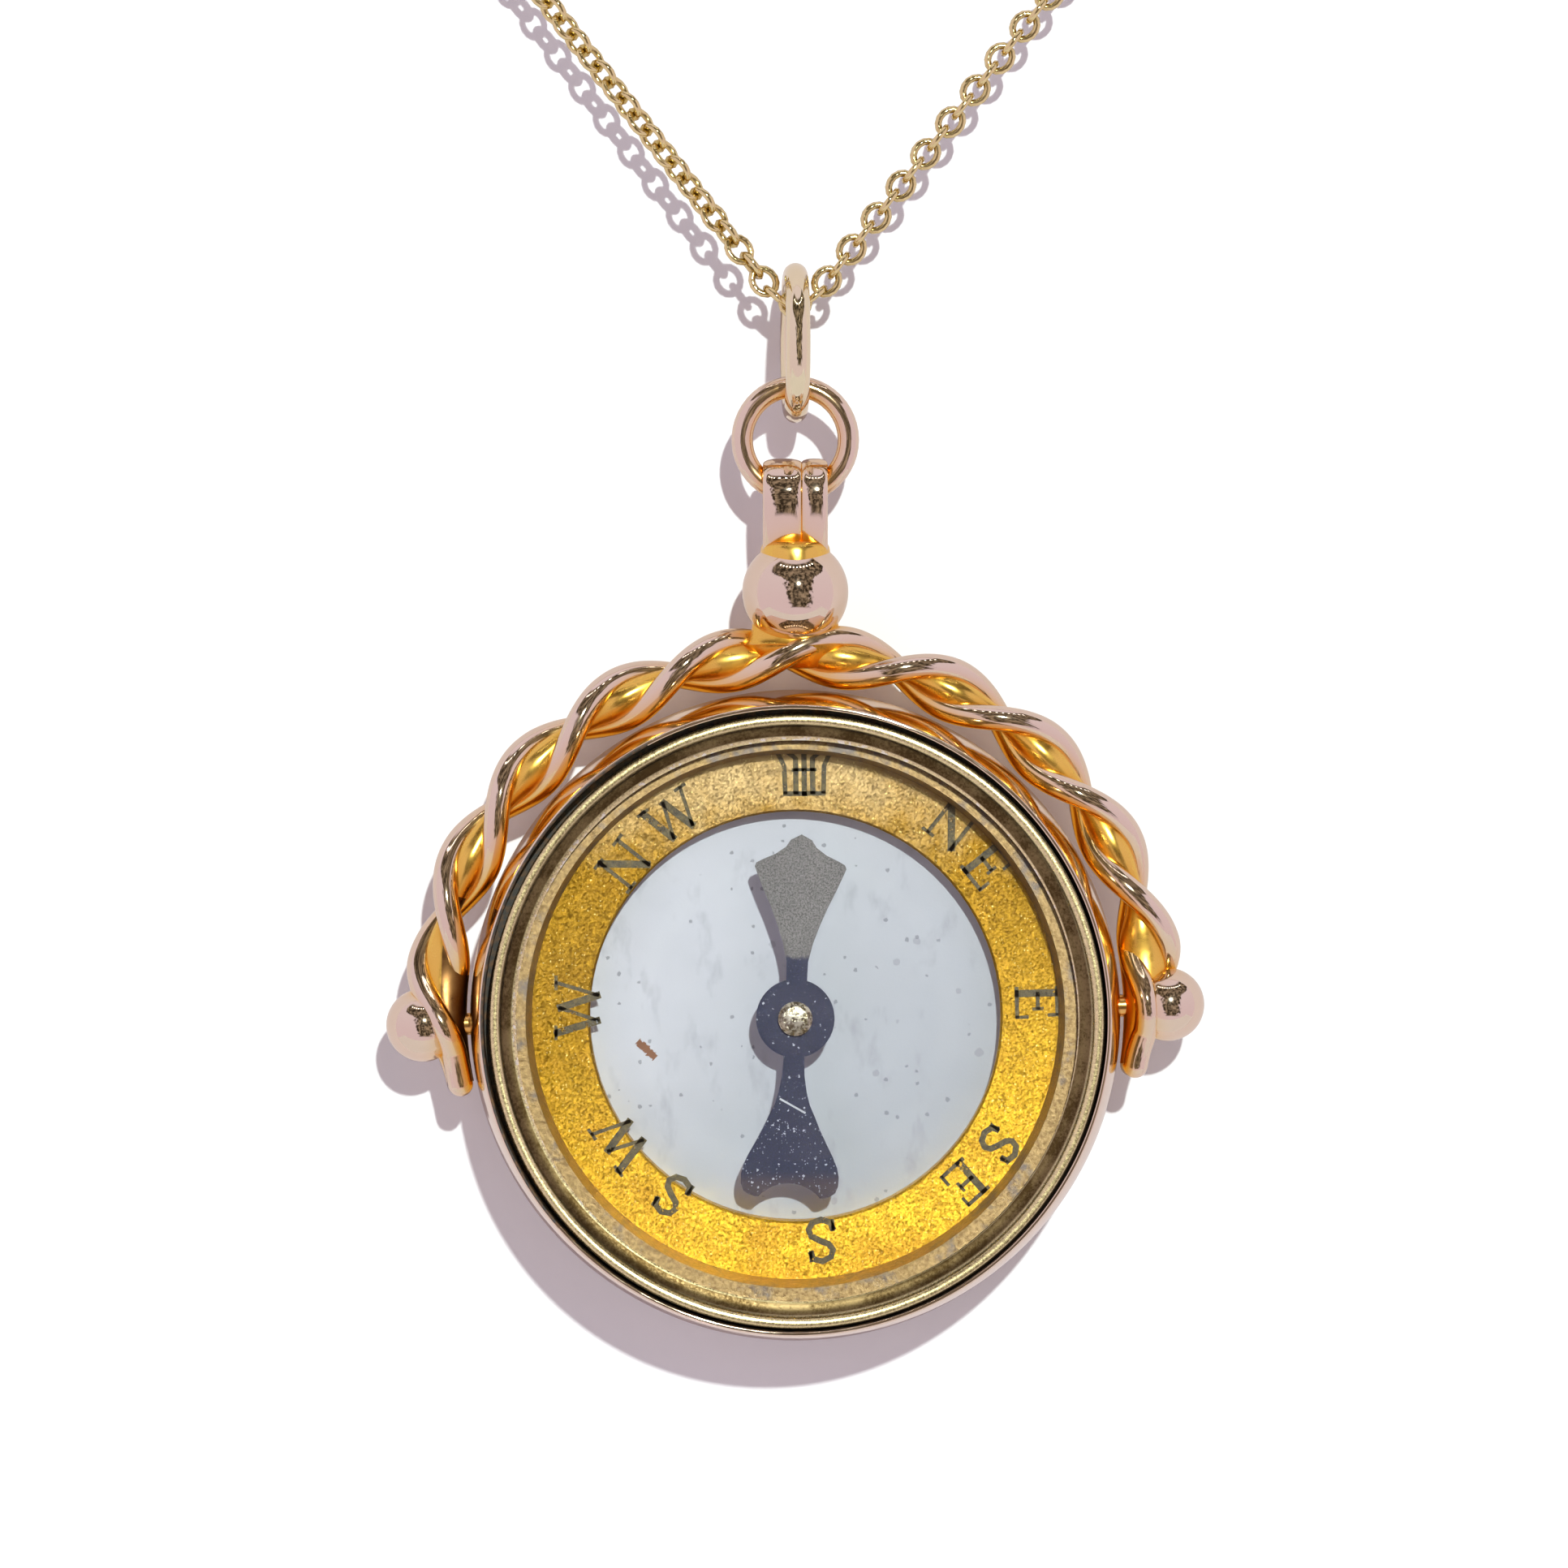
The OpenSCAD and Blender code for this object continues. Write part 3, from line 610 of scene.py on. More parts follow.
class PENDANT_OT_arch(bpy.types.Operator):
    """Makes the twisted arch with its balls, collar and ribbed hanging loop"""
    bl_idname = "pendant.arch"
    bl_label = "Twisted arch"

    def execute(self, context):
        s = context.scene.pendant_arch
        # Each gold's second tone is painted shade and inter-reflection where faces crowd together.
        gold = polished_gold("Rose gold", s.face_colour, s.crevice_shade_colour, roughness=(0.045, 0.12),
                             scratches=0.6, unevenness=0.8, reach=2.2, hidden=(0.35, 0.92))
        rich = polished_gold("Rich gold in the twist", (0.95, 0.60, 0.13), (0.80, 0.34, 0.02),
                             roughness=(0.18, 0.34), scratches=0.3, unevenness=3.0, reach=1.6,
                             hidden=(0.3, 0.95), bump=0.5)
        # Painted shade: dark brown on the core's inner side by the left pin.
        left_pin_shade = polished_gold("Painted shade on the core by the left pin", (0.34, 0.17, 0.06), (0.07, 0.03, 0.012),
                              roughness=(0.2, 0.4), unevenness=3.0, reach=2.0, hidden=(0.3, 1.0), bump=0.5)
        wire, spread = s.wire / MM, s.spread / MM
        tilt = Matrix.Translation(CASE_MIDDLE) @ Matrix.Rotation(-PIN_TILT, 4, "Y")
        shell = Shell()
        low, high = -TAIL_ANGLE, 180 + TAIL_ANGLE
        for side in (0, 1):
            path = [tilt @ (strand_point(low + (high - low) * i / s.steps, side, wire, spread) * MM)
                    for i in range(s.steps + 1)]
            shell.wire(path, s.wire / 2, sides=20)
        for a in (low, high):
            ends = [tilt @ (strand_point(a, side, wire, spread) * MM) for side in (0, 1)]
            shell.wire([ends[0].lerp(ends[1], k / 4) for k in range(5)], s.wire / 2, sides=20)
        core = [core_ring(low + (high - low) * i / CORE_STEPS, s.core / MM, CORE_SIDES)
                for i in range(CORE_STEPS + 1)]
        shell.finish = 1
        start = len(shell.faces)
        shell.sweep([[tilt @ (p * MM) for p in ring] for ring in core])
        # Gives the painted shade to the core's faces by the left pin.
        for i in LEFT_PIN_SHADE_STEPS:
            for k in LEFT_PIN_SHADE_SIDES:
                shell.finishes[start + i * CORE_SIDES + k] = 2
        shell.finish = 0
        for side in (-1, 1):
            middle = Vector((side * SIDE_BALL_X, 0, 0))
            shell.ball(tilt @ (middle * MM), SIDE_BALL_R * MM)
            for strand in (0, 1):
                for lean in (-2, 2):
                    start = strand_point(90 - side * 90 + lean, strand, wire, spread)
                    path = [tilt @ (start.lerp(middle, 0.1 * k) * MM) for k in range(6)]
                    shell.wire(path, 0.3 * MM, sides=12)
        top = CASE_MIDDLE + Vector((0, 0, TOP_BALL_Z * MM))
        shell.ball(top, TOP_BALL_R * MM, columns=64, rows=40)
        shell.finish = 1
        self.collar(shell)
        self.loop_base(shell, top)
        shell.finish = 0
        self.loop(shell)
        arch = shell.build("twisted_arch", "hanger", "rose_gold", gold, rich, left_pin_shade, smooth_angle=60)
        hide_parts("arch")
        return {"FINISHED"}

    def collar(self, shell):
        """A foot that narrows from the arch up to the top ball."""
        base = CASE_MIDDLE + Vector((0, 0, ARCH_R * MM))
        rise = TOP_BALL_Z - sqrt(TOP_BALL_R ** 2 - 1.6 ** 2) + 0.12 - ARCH_R
        profile = [(AXIS, -0.5), (0.8, -0.5), (1.1, -0.45)]
        for i in range(13):
            a = radians(90 * i / 12)
            profile.append((2.0 - 0.4 * sin(a), rise * (0.3 + 0.7 * (1 - cos(a)))))
        profile.append((AXIS, rise))
        shell.lathe(profile, base, Vector((0, 0, 1)), sides=64, flat=0.55)

    def loop_base(self, shell, top):
        """A low dome on the top ball, from which the loop's legs rise."""
        base = top + Vector((0, 0, 1.05 * MM))
        profile = rounded([(AXIS, 0), (1.34, 0), (1.27, 0.85), (AXIS, 0.85)], [0, 0.05, 0.35, 0])
        shell.lathe(profile, base, Vector((0, 0, 1)), sides=64, flat=3.1 / 2.64)

    def loop(self, shell):
        """Two ribs bent over the jump ring, whose legs draw together down to the ball."""
        bend = Vector((0, 0, RING_LOW_Z - 0.1 * MM))
        r, foot, width, half_thick = 1.15, 2.42, 2.42, 0.23
        squareness = 0.75, 0.85
        legs = [(r - 0.6 * (down / 1.9) ** 1.4, -down)
                for down in (foot * k / 16 for k in range(1, 17))]
        over = [(r * cos(a), r * sin(a)) for a in (pi - pi * k / 28 for k in range(29))]
        outline = [(-y, z) for y, z in reversed(legs)] + over + legs
        broad, narrow = width * 0.6 + 0.04, width * 0.4 + 0.04
        for x, w in (((broad - width) / 2, broad), ((width - narrow) / 2, narrow)):
            route = [bend + Vector((x, y, z)) * MM for y, z in outline]
            rings = []
            for i, p in enumerate(route):
                t = (route[min(i + 1, len(route) - 1)] - route[max(i - 1, 0)]).normalized()
                u = Vector((1, 0, 0))
                v = t.cross(u)
                ring = []
                for k in range(24):
                    a = 2 * pi * k / 24
                    c, d = cos(a), sin(a)
                    ring.append(p + u * (w / 2 * MM) * copysign(abs(c) ** squareness[0], c)
                                + v * (half_thick * MM) * copysign(abs(d) ** squareness[1], d))
                rings.append(ring)
            shell.sweep(rings)


class PENDANT_OT_case(bpy.types.Operator):
    """Makes the ball-edged case and its brass bezel with softened edges"""
    bl_idname = "pendant.case"
    bl_label = "Case and bezel"

    def execute(self, context):
        arch = context.scene.pendant_arch
        compass = context.scene.pendant_compass
        # The deep tone is painted shade and inter-reflection where the arch and the recess crowd the case.
        gold = polished_gold("Case rose gold", arch.face_colour, arch.crevice_shade_colour,
                             roughness=(0.05, 0.14), scratches=0.9, unevenness=0.7, reach=2.4,
                             hidden=(0.45, 0.95))
        # Painted shade and dark reflection: near-black on the recess's walls, mottled by noise.
        recess_shade, w, skin, place, _ = new_material("Painted shade in the recess")
        crust = w.noise(place, 3000, 3.0, 0.6)
        tone = w.mix(w.span(crust, 0.45, 0.75), (0.018, 0.012, 0.008), (0.16, 0.075, 0.025))
        w.fill(skin, {"Base Color": tone, "Roughness": w.span(crust, 0.3, 0.7, 0.4, 0.7)})
        forward = Vector((0, -1, 0))
        front = 3.3
        corners = [(AXIS, -front + 0.25), (10.9, -front + 0.25), (11.0, -front)]
        radii = [0, 0.1, 0.08]
        for i in range(33):
            h = front * (2 * i / 32 - 1)
            corners.append((sqrt(CASE_EDGE ** 2 - h ** 2), h))
            radii.append(0.06 if i in (0, 32) else 0)
        corners += [(11.55, front), (11.55, front - 1.3), (10.95, front - 1.3),
                    (10.95, -front + 0.8), (AXIS, -front + 0.8)]
        radii += [0.06, 0, 0, 0, 0]
        outline = rounded(corners, radii)
        shell = Shell()
        shell.lathe(outline, CASE_MIDDLE, forward, CASE_SIDES)
        n, back = len(outline), -2.6
        reach = [max(outline[i][0], outline[(i + 1) % n][0]) if outline[i][1] > back else CASE_EDGE
                 for i in range(n)]
        # Faces inside these radii get the painted shade, further up the lip on the left sides.
        shade_limit, left_shade_limit = 11.56, 11.66
        shell.finishes = [int(reach[i % n] < (left_shade_limit if i // n in LEFT_LIP_SHADE else shade_limit))
                          for i in range(len(shell.faces))]
        case = shell.build("polished_case", "compass", "rose_gold", gold, recess_shade, smooth_angle=50)
        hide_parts("case")
        self.bezel(compass, forward, front)
        return {"FINISHED"}

    def bezel(self, s, forward, front):
        mat, w, skin, place, _ = new_material("Worn bezel brass")
        _, _, radius = w.spot(place)
        pits = w.noise(place, 9000, 4.0, 0.75)
        stains = w.noise(place, 620, 4.0, 0.65)
        slope = w.times(w.span(radius, 10.93, 11.03, 1.0, 0.0, True),
                        w.span(radius, 10.50, 10.56, 0.0, 1.0, True))
        crust = w.plus(w.times(stains, 0.7), w.times(pits, 0.6))
        # Painted shade and dark reflection: the bezel near-black outside its bead, in the narrow gap to the
        # case's lip.
        outer = w.span(radius, 11.38, 11.42, 0.0, 1.0, True)
        tone = w.mix(w.span(pits, 0.34, 0.6), [c * 0.62 for c in s.brass_colour], s.brass_colour)
        tone = w.mix(w.times(slope, 0.9), tone, (0.20, 0.13, 0.055))
        caked = w.times(slope, w.span(crust, 0.55, 0.72, 0.25, 1.0))
        tone = w.mix(caked, tone, (0.075, 0.045, 0.016))
        chips = w.times(w.span(radius, 10.52, 10.47, 0.0, 1.0),
                        w.math("GREATER_THAN", w.noise(place, 2600, 3.0, 0.6), 0.58))
        tone = w.mix(w.times(chips, 0.85), tone, (0.95, 0.90, 0.78))
        w.fill(skin, {"Base Color": w.mix(outer, tone, (0.03, 0.018, 0.01)),
                      "Metallic": w.span(outer, 0.0, 1.0, 1.0, 0.2),
                      "Roughness": w.plus(w.span(pits, 0.3, 0.7, 0.2, 0.36), w.times(slope, 0.14))})
        w.bump(skin, pits, 0.14, 0.04)
        bead, bead_h, rim = 11.2, front - 0.21, front - 0.28
        profile = [(AXIS, -1.93), (10.85, -1.93), (10.85, front - 1.27), (11.4, front - 1.27)]
        profile += [(bead + 0.2 * cos(pi * k / 12), bead_h + 0.13 * sin(pi * k / 12))
                    for k in range(13)]
        profile += [(r, rim - down) for r, down in (
            (10.98, 0.1), (10.92, 0.2), (10.72, 0.3), (10.6, 0.34),
            (10.5, 0.36), (10.43, 0.4), (10.43, 0.44), (10.55, 0.44))]
        profile += [(10.55, -1.53), (AXIS, -1.53)]
        seat = CASE_MIDDLE + Vector((0.06, 0, -0.06)) * MM
        shell = Shell()
        shell.lathe(profile, seat, forward, CASE_SIDES)
        bezel = shell.build("brass_bezel", "compass", "bezel_brass", mat, smooth_angle=40)
        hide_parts("capsule")


# Strokes of the compass letters, in a box one unit high: lists of points and a width share

LETTERS = {
    "N": [([(-0.36, -0.5), (-0.36, 0.5)], 0.6), ([(-0.38, 0.48), (0.36, -0.48)], 1.1),
          ([(0.36, -0.5), (0.36, 0.5)], 0.6), ([(-0.52, -0.5), (-0.2, -0.5)], 0.5),
          ([(-0.54, 0.5), (-0.26, 0.5)], 0.5), ([(0.2, 0.5), (0.52, 0.5)], 0.5)],
    "E": [([(-0.22, -0.5), (-0.22, 0.5)], 1.1), ([(-0.36, 0.5), (0.32, 0.5)], 0.6),
          ([(-0.22, 0.02), (0.16, 0.02)], 0.6), ([(-0.36, -0.5), (0.36, -0.5)], 0.6),
          ([(0.33, 0.52), (0.33, 0.28)], 0.5), ([(0.17, 0.14), (0.17, -0.1)], 0.5),
          ([(0.37, -0.52), (0.37, -0.24)], 0.5)],
    "S": [([(0.27, 0.3), (0.22, 0.45), (0.0, 0.52), (-0.22, 0.42), (-0.28, 0.24), (-0.18, 0.1),
            (0.04, 0.0), (0.24, -0.12), (0.3, -0.28), (0.2, -0.45), (-0.02, -0.52), (-0.24, -0.44),
            (-0.3, -0.28)], 0.95),
          ([(0.28, 0.5), (0.28, 0.26)], 0.5), ([(-0.31, -0.5), (-0.31, -0.24)], 0.5)],
    "W": [([(-0.6, 0.5), (-0.3, -0.5)], 1.1), ([(-0.3, -0.5), (0.0, 0.42)], 0.55),
          ([(0.0, 0.42), (0.3, -0.5)], 1.1), ([(0.3, -0.5), (0.6, 0.5)], 0.55),
          ([(-0.74, 0.5), (-0.44, 0.5)], 0.5), ([(0.44, 0.5), (0.74, 0.5)], 0.5)],
    "north": [([(0, -0.55), (0, 0.62)], 0.8), ([(-0.22, -0.5), (-0.22, 0.4), (-0.4, 0.55)], 0.8),
              ([(0.22, -0.5), (0.22, 0.4), (0.4, 0.55)], 0.8), ([(-0.52, -0.52), (0.52, -0.52)], 0.7),
              ([(-0.5, -0.5), (-0.52, 0.2), (-0.66, 0.5)], 0.7),
              ([(0.5, -0.5), (0.52, 0.2), (0.66, 0.5)], 0.7), ([(-0.3, 0.1), (0.3, 0.1)], 0.5)],
}

# Letter, place across and up from the case's middle in millimetres, and size share
LETTER_PLACES = [
    ("north", 0.33, 9.06, 0.95), ("N", 5.82, 7.15, 1.0), ("E", 7.12, 5.64, 1.0), ("E", 9.0, 0.55, 1.0),
    ("S", 7.6, -4.76, 0.9), ("E", 6.33, -6.18, 0.95), ("S", 0.97, -8.36, 1.0), ("S", -4.58, -6.67, 0.95),
    ("W", -6.5, -4.67, 0.95), ("W", -8.12, 0.33, 1.05), ("N", -6.36, 5.7, 1.0), ("W", -4.58, 7.48, 0.95),
]
LETTER_MIDDLE = (0.45, 0.33)


class PENDANT_OT_letters(bpy.types.Operator):
    """Draws the worn compass letters on the gilded ring"""
    bl_idname = "pendant.letters"
    bl_label = "Compass letters"

    def execute(self, context):
        s = context.scene.pendant_compass
        mat, w, skin, place, _ = new_material("Worn letter ink")
        worn = w.noise(place, 3300, 4.0, 0.75)
        ink = w.plus(worn, w.times(w.noise(place, 900), 0.4))
        tone = w.mix(w.span(worn, 0.4, 0.7), (0.045, 0.035, 0.02), (0.16, 0.11, 0.03))
        w.fill(skin, {"Base Color": tone, "Roughness": 0.55, "Alpha": w.span(ink, 0.52, 0.6)})
        face_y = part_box("letter_ring")[0][1] - 0.006 * MM
        shell = Shell()
        for letter, x, z, size in LETTER_PLACES:
            away = Vector((x - LETTER_MIDDLE[0], z - LETTER_MIDDLE[1])).normalized()
            side = Vector((away.y, -away.x))
            middle = Vector((x, z))
            height = s.letter_height / MM * size
            for points, share in LETTERS[letter]:
                line = [middle + (p[0] * side + p[1] * away) * height for p in points]
                half = s.letter_stroke / MM * share * 0.5
                self.stroke(shell, line, half, face_y)
        shell.build("compass_letters", "compass", "gilt", mat)
        return {"FINISHED"}

    def stroke(self, shell, line, half, y):
        """A flat ribbon along the line, a little way in front of the ring."""
        left, right = [], []
        for i, p in enumerate(line):
            d = (line[min(i + 1, len(line) - 1)] - line[max(i - 1, 0)]).normalized()
            n = Vector((-d.y, d.x)) * half
            if i == 0:
                p = p - d * half * 0.6
            if i == len(line) - 1:
                p = p + d * half * 0.6
            left.append(p + n)
            right.append(p - n)
        points = [Vector((q.x * MM, y, CASE_Z + q.y * MM)) for q in left + right]
        n = len(line)
        shell.add(points, [(i, i + 1, n + i + 1, n + i) for i in range(n - 1)])


class PENDANT_OT_compass(bpy.types.Operator):
    """Finishes the dial, the gilded ring, the needle, the glass and the small parts"""
    bl_idname = "pendant.compass"
    bl_label = "Compass finishes"

    def execute(self, context):
        s = context.scene.pendant_compass
        self.dial(s)
        self.gilt(s)
        self.spacer()
        self.needle()
        self.cap()
        self.glass()
        return {"FINISHED"}

    def dial(self, s):
        mat, w, skin, place, _ = new_material("Aged white dial with painted light")
        cloud = w.noise(place, 220, 4.0, 0.6)
        fine = w.noise(place, 9000, 2.0, 0.6)
        tone = w.mix(w.span(cloud, 0.3, 0.7), [c * 0.9 for c in s.dial_colour], s.dial_colour)
        specks = group(w, "specks", {"Place": place, "Scale": 2600.0, "Amount": 0.14})
        tone = w.mix(w.times(specks, 0.55), tone, (0.10, 0.10, 0.13))
        x, up, radius = w.spot(place)
        # Painted light: a faint paler ring standing for the domed glass's caustic on the dial.
        caustic_ring = w.times(w.span(radius, 5.2, 5.7, 0.0, 1.0, True),
                      w.span(radius, 5.9, 6.4, 1.0, 0.0, True))
        tone = w.mix(w.times(caustic_ring, 0.12), tone, (0.8, 0.84, 0.92))
        # Darker towards the bottom right: partly the dial's age, partly a painted glass reflection brightening
        # the upper left.
        tone = w.mix(w.span(w.minus(up, x), -9, 9, 0.42, 0.0, True), tone, (0.27, 0.31, 0.37))
        dust = group(w, "specks", {"Place": place, "Scale": 1300.0, "Amount": 0.05})
        tone = w.mix(w.times(dust, 0.3), tone, (0.2, 0.2, 0.26))
        smear = w.noise(w.stretched(place, (1.0, 1.0, 0.45), (0, 0.7, 0)), 900, 4.0, 0.65)
        tone = w.mix(w.span(smear, 0.56, 0.74, 0.0, 0.4), tone, (0.30, 0.30, 0.38))
        frayed = w.span(fine, 0.3, 0.7, 0.07, 0.2)
        fibre = w.dash(x, up, (-5.55, -1.3), radians(-43.8), 0.46, frayed)
        tone = w.mix(fibre, tone, (0.24, 0.10, 0.05))
        w.fill(skin, {"Base Color": tone, "Roughness": 0.6})
        w.bump(skin, fine, 0.15, 0.02)
        paint("dial", mat)

    def gilt(self, s):
        mat, w, skin, place, _ = new_material("Speckled gilding")
        flakes = w.add("ShaderNodeTexVoronoi", {"Vector": place, "Scale": 15000.0})
        flake = w.add("ShaderNodeSeparateColor", {"Color": flakes.outputs["Color"]})
        patches = w.noise(place, 700, 5.0, 0.7)
        grain = w.noise(place, 11000, 3.0, 0.7)
        dim = [c * share for c, share in zip(s.gilt_colour, (0.7, 0.62, 0.8))]
        tone = w.mix(w.span(patches, 0.36, 0.64), dim, s.gilt_colour)
        tone = w.mix(w.span(grain, 0.5, 0.6, 0.0, 0.6), tone, (0.22, 0.11, 0.012))
        # Painted shade: the mask named worn darkens the ring towards the top and the left, broken into
        # blotches.
        x, up, _ = w.spot(place)
        left = w.math("MAXIMUM", w.times(x, -0.5), 0.0)
        blotch = w.times(w.minus(patches, 0.5), 7)
        worn = w.plus(w.plus(up, left), blotch)
        tone = w.mix(w.span(worn, -8, 6, 0.0, 0.9, True), tone, (0.23, 0.115, 0.006))
        dusty = w.span(w.plus(up, blotch), 5, 10, 0.0, 0.45, True)
        tone = w.mix(dusty, tone, (0.62, 0.48, 0.30))
        glitter = group(w, "specks", {"Place": place, "Scale": 8500.0, "Amount": 0.3})
        tone = w.mix(w.times(glitter, 0.55), tone, (1.0, 0.80, 0.30))
        tilt = w.vector("SUBTRACT", flakes.outputs["Color"], (0.5, 0.5, 0.5))
        tilt = w.vector("SCALE", tilt, scale=0.16)
        tilt = w.vector("ADD", w.add("ShaderNodeNewGeometry").outputs["Normal"], tilt)
        w.fill(skin, {"Base Color": tone, "Metallic": 0.85,
                      "Roughness": w.span(flake, 0.0, 1.0, 0.28, 0.6),
                      "Normal": w.vector("NORMALIZE", tilt)})
        paint("letter_ring", mat)

    def spacer(self):
        mat, w, skin, place, _ = new_material("Dull inner ring")
        grain = w.noise(place, 6500, 4.0, 0.7)
        smear = w.noise(place, 750, 4.0, 0.7)
        tone = w.mix(w.span(grain, 0.35, 0.65), (0.19, 0.115, 0.045), (0.42, 0.285, 0.135))
        tone = w.mix(w.span(smear, 0.52, 0.66, 0.0, 0.75), tone, (0.115, 0.11, 0.13))
        w.fill(skin, {"Base Color": tone, "Metallic": 0.8,
                      "Roughness": w.span(grain, 0.3, 0.7, 0.35, 0.6)})
        w.bump(skin, grain, 0.5, 0.04)
        paint("spacer_ring", mat)

    def needle(self):
        mat, w, skin, place, _ = new_material("Blued needle")
        x, up, _ = w.spot(place)
        ragged = w.noise(place, 2400, 3.0, 0.6)
        line = w.plus(up, w.times(w.minus(ragged, 0.5), 0.5))
        bare = w.span(line, 2.15, 2.35, 0.0, 1.0, True)
        grain = w.noise(place, 14000, 2.0, 0.7)
        grainy = w.span(grain, 0.35, 0.65)
        steel = w.mix(grainy, (0.062, 0.058, 0.061), (0.17, 0.155, 0.162))
        blue = w.mix(grainy, (0.003, 0.004, 0.02), (0.012, 0.013, 0.05))
        chips = group(w, "specks", {"Place": place, "Scale": 5200.0, "Amount": 0.3})
        tail = w.span(up, -6.3, -5.6, 1.0, 0.0, True)
        blue = w.mix(w.times(tail, 0.5), blue, (0.07, 0.04, 0.035))
        blue = w.mix(w.times(chips, 0.8), blue, (0.5, 0.52, 0.6))
        fine = group(w, "specks", {"Place": place, "Scale": 9500.0, "Amount": 0.4})
        near_tail = w.span(up, -2.2, -3.4, 0.15, 0.8, True)
        blue = w.mix(w.times(fine, near_tail), blue, (0.38, 0.40, 0.5))
        scratch = w.dash(x, up, (-0.1, -3.25), radians(-29.4), 0.55, 0.035)
        blue = w.mix(w.times(scratch, 0.7), blue, (0.6, 0.62, 0.66))
        w.fill(skin, {"Base Color": w.mix(bare, blue, steel),
                      "Metallic": w.span(bare, 0.0, 1.0, 0.3, 0.75),
                      "Roughness": w.span(grain, 0.3, 0.7, 0.4, 0.6)})
        w.bump(skin, grain, 0.25, 0.02)
        paint("needle", mat)
        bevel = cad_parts["needle"].modifiers.new("Soft edge", "BEVEL")
        bevel.width = 0.03 * MM
        bevel.segments = 2
        bevel.limit_method = "ANGLE"

    def cap(self):
        mat, w, skin, place, _ = new_material("Pale brass cap")
        grain = w.noise(place, 5200, 3.0, 0.7)
        tone = w.mix(w.span(grain, 0.4, 0.62), (0.24, 0.19, 0.11), (0.80, 0.74, 0.62))
        w.fill(skin, {"Base Color": tone, "Metallic": 0.9,
                      "Roughness": w.span(grain, 0.3, 0.7, 0.15, 0.4)})
        w.bump(skin, grain, 0.8, 0.06)
        paint("needle_cap", mat)
        paint("post", mat)

    def glass(self):
        mat, w, skin, place, out = new_material("Watch glass")
        haze = w.noise(place, 400, 4.0, 0.6)
        w.fill(skin, {"Roughness": w.span(haze, 0.45, 0.75, 0.0, 0.06), "Transmission Weight": 1.0,
                      "IOR": 1.3, "Metallic": 0.0})
        ray = w.add("ShaderNodeLightPath")
        unlit = w.math("MAXIMUM", ray.outputs["Is Shadow Ray"], ray.outputs["Is Diffuse Ray"])
        w.put(out.inputs["Surface"], w.blend(unlit, skin, w.add("ShaderNodeBsdfTransparent")))
        paint("glass", mat)


class PENDANT_OT_rings(bpy.types.Operator):
    """Finishes the bail ring, the jump ring, the pins and the clasp"""
    bl_idname = "pendant.rings"
    bl_label = "Rings, pins and clasp"

    def execute(self, context):
        arch = context.scene.pendant_arch
        chain = context.scene.pendant_chain
        # Each gold's second tone is painted shade where faces crowd together.
        pale = polished_gold("Pale yellow gold", (0.90, 0.78, 0.55), (0.78, 0.45, 0.10),
                             roughness=(0.04, 0.1), scratches=0.8, reach=0.5, hidden=(0.3, 0.75))
        rose = polished_gold("Ring rose gold", arch.face_colour, (0.85, 0.48, 0.14),
                             roughness=(0.05, 0.14), scratches=0.9, reach=2.4, hidden=(0.55, 1.0))
        plain = polished_gold("Clasp gold", chain.colour, (0.8, 0.42, 0.08), reach=0.4)
        for node, mat in (("bail_ring", pale), ("jump_ring", rose), ("pin_left", rose),
                          ("pin_right", rose), ("clasp", plain)):
            paint(node, mat)
        return {"FINISHED"}


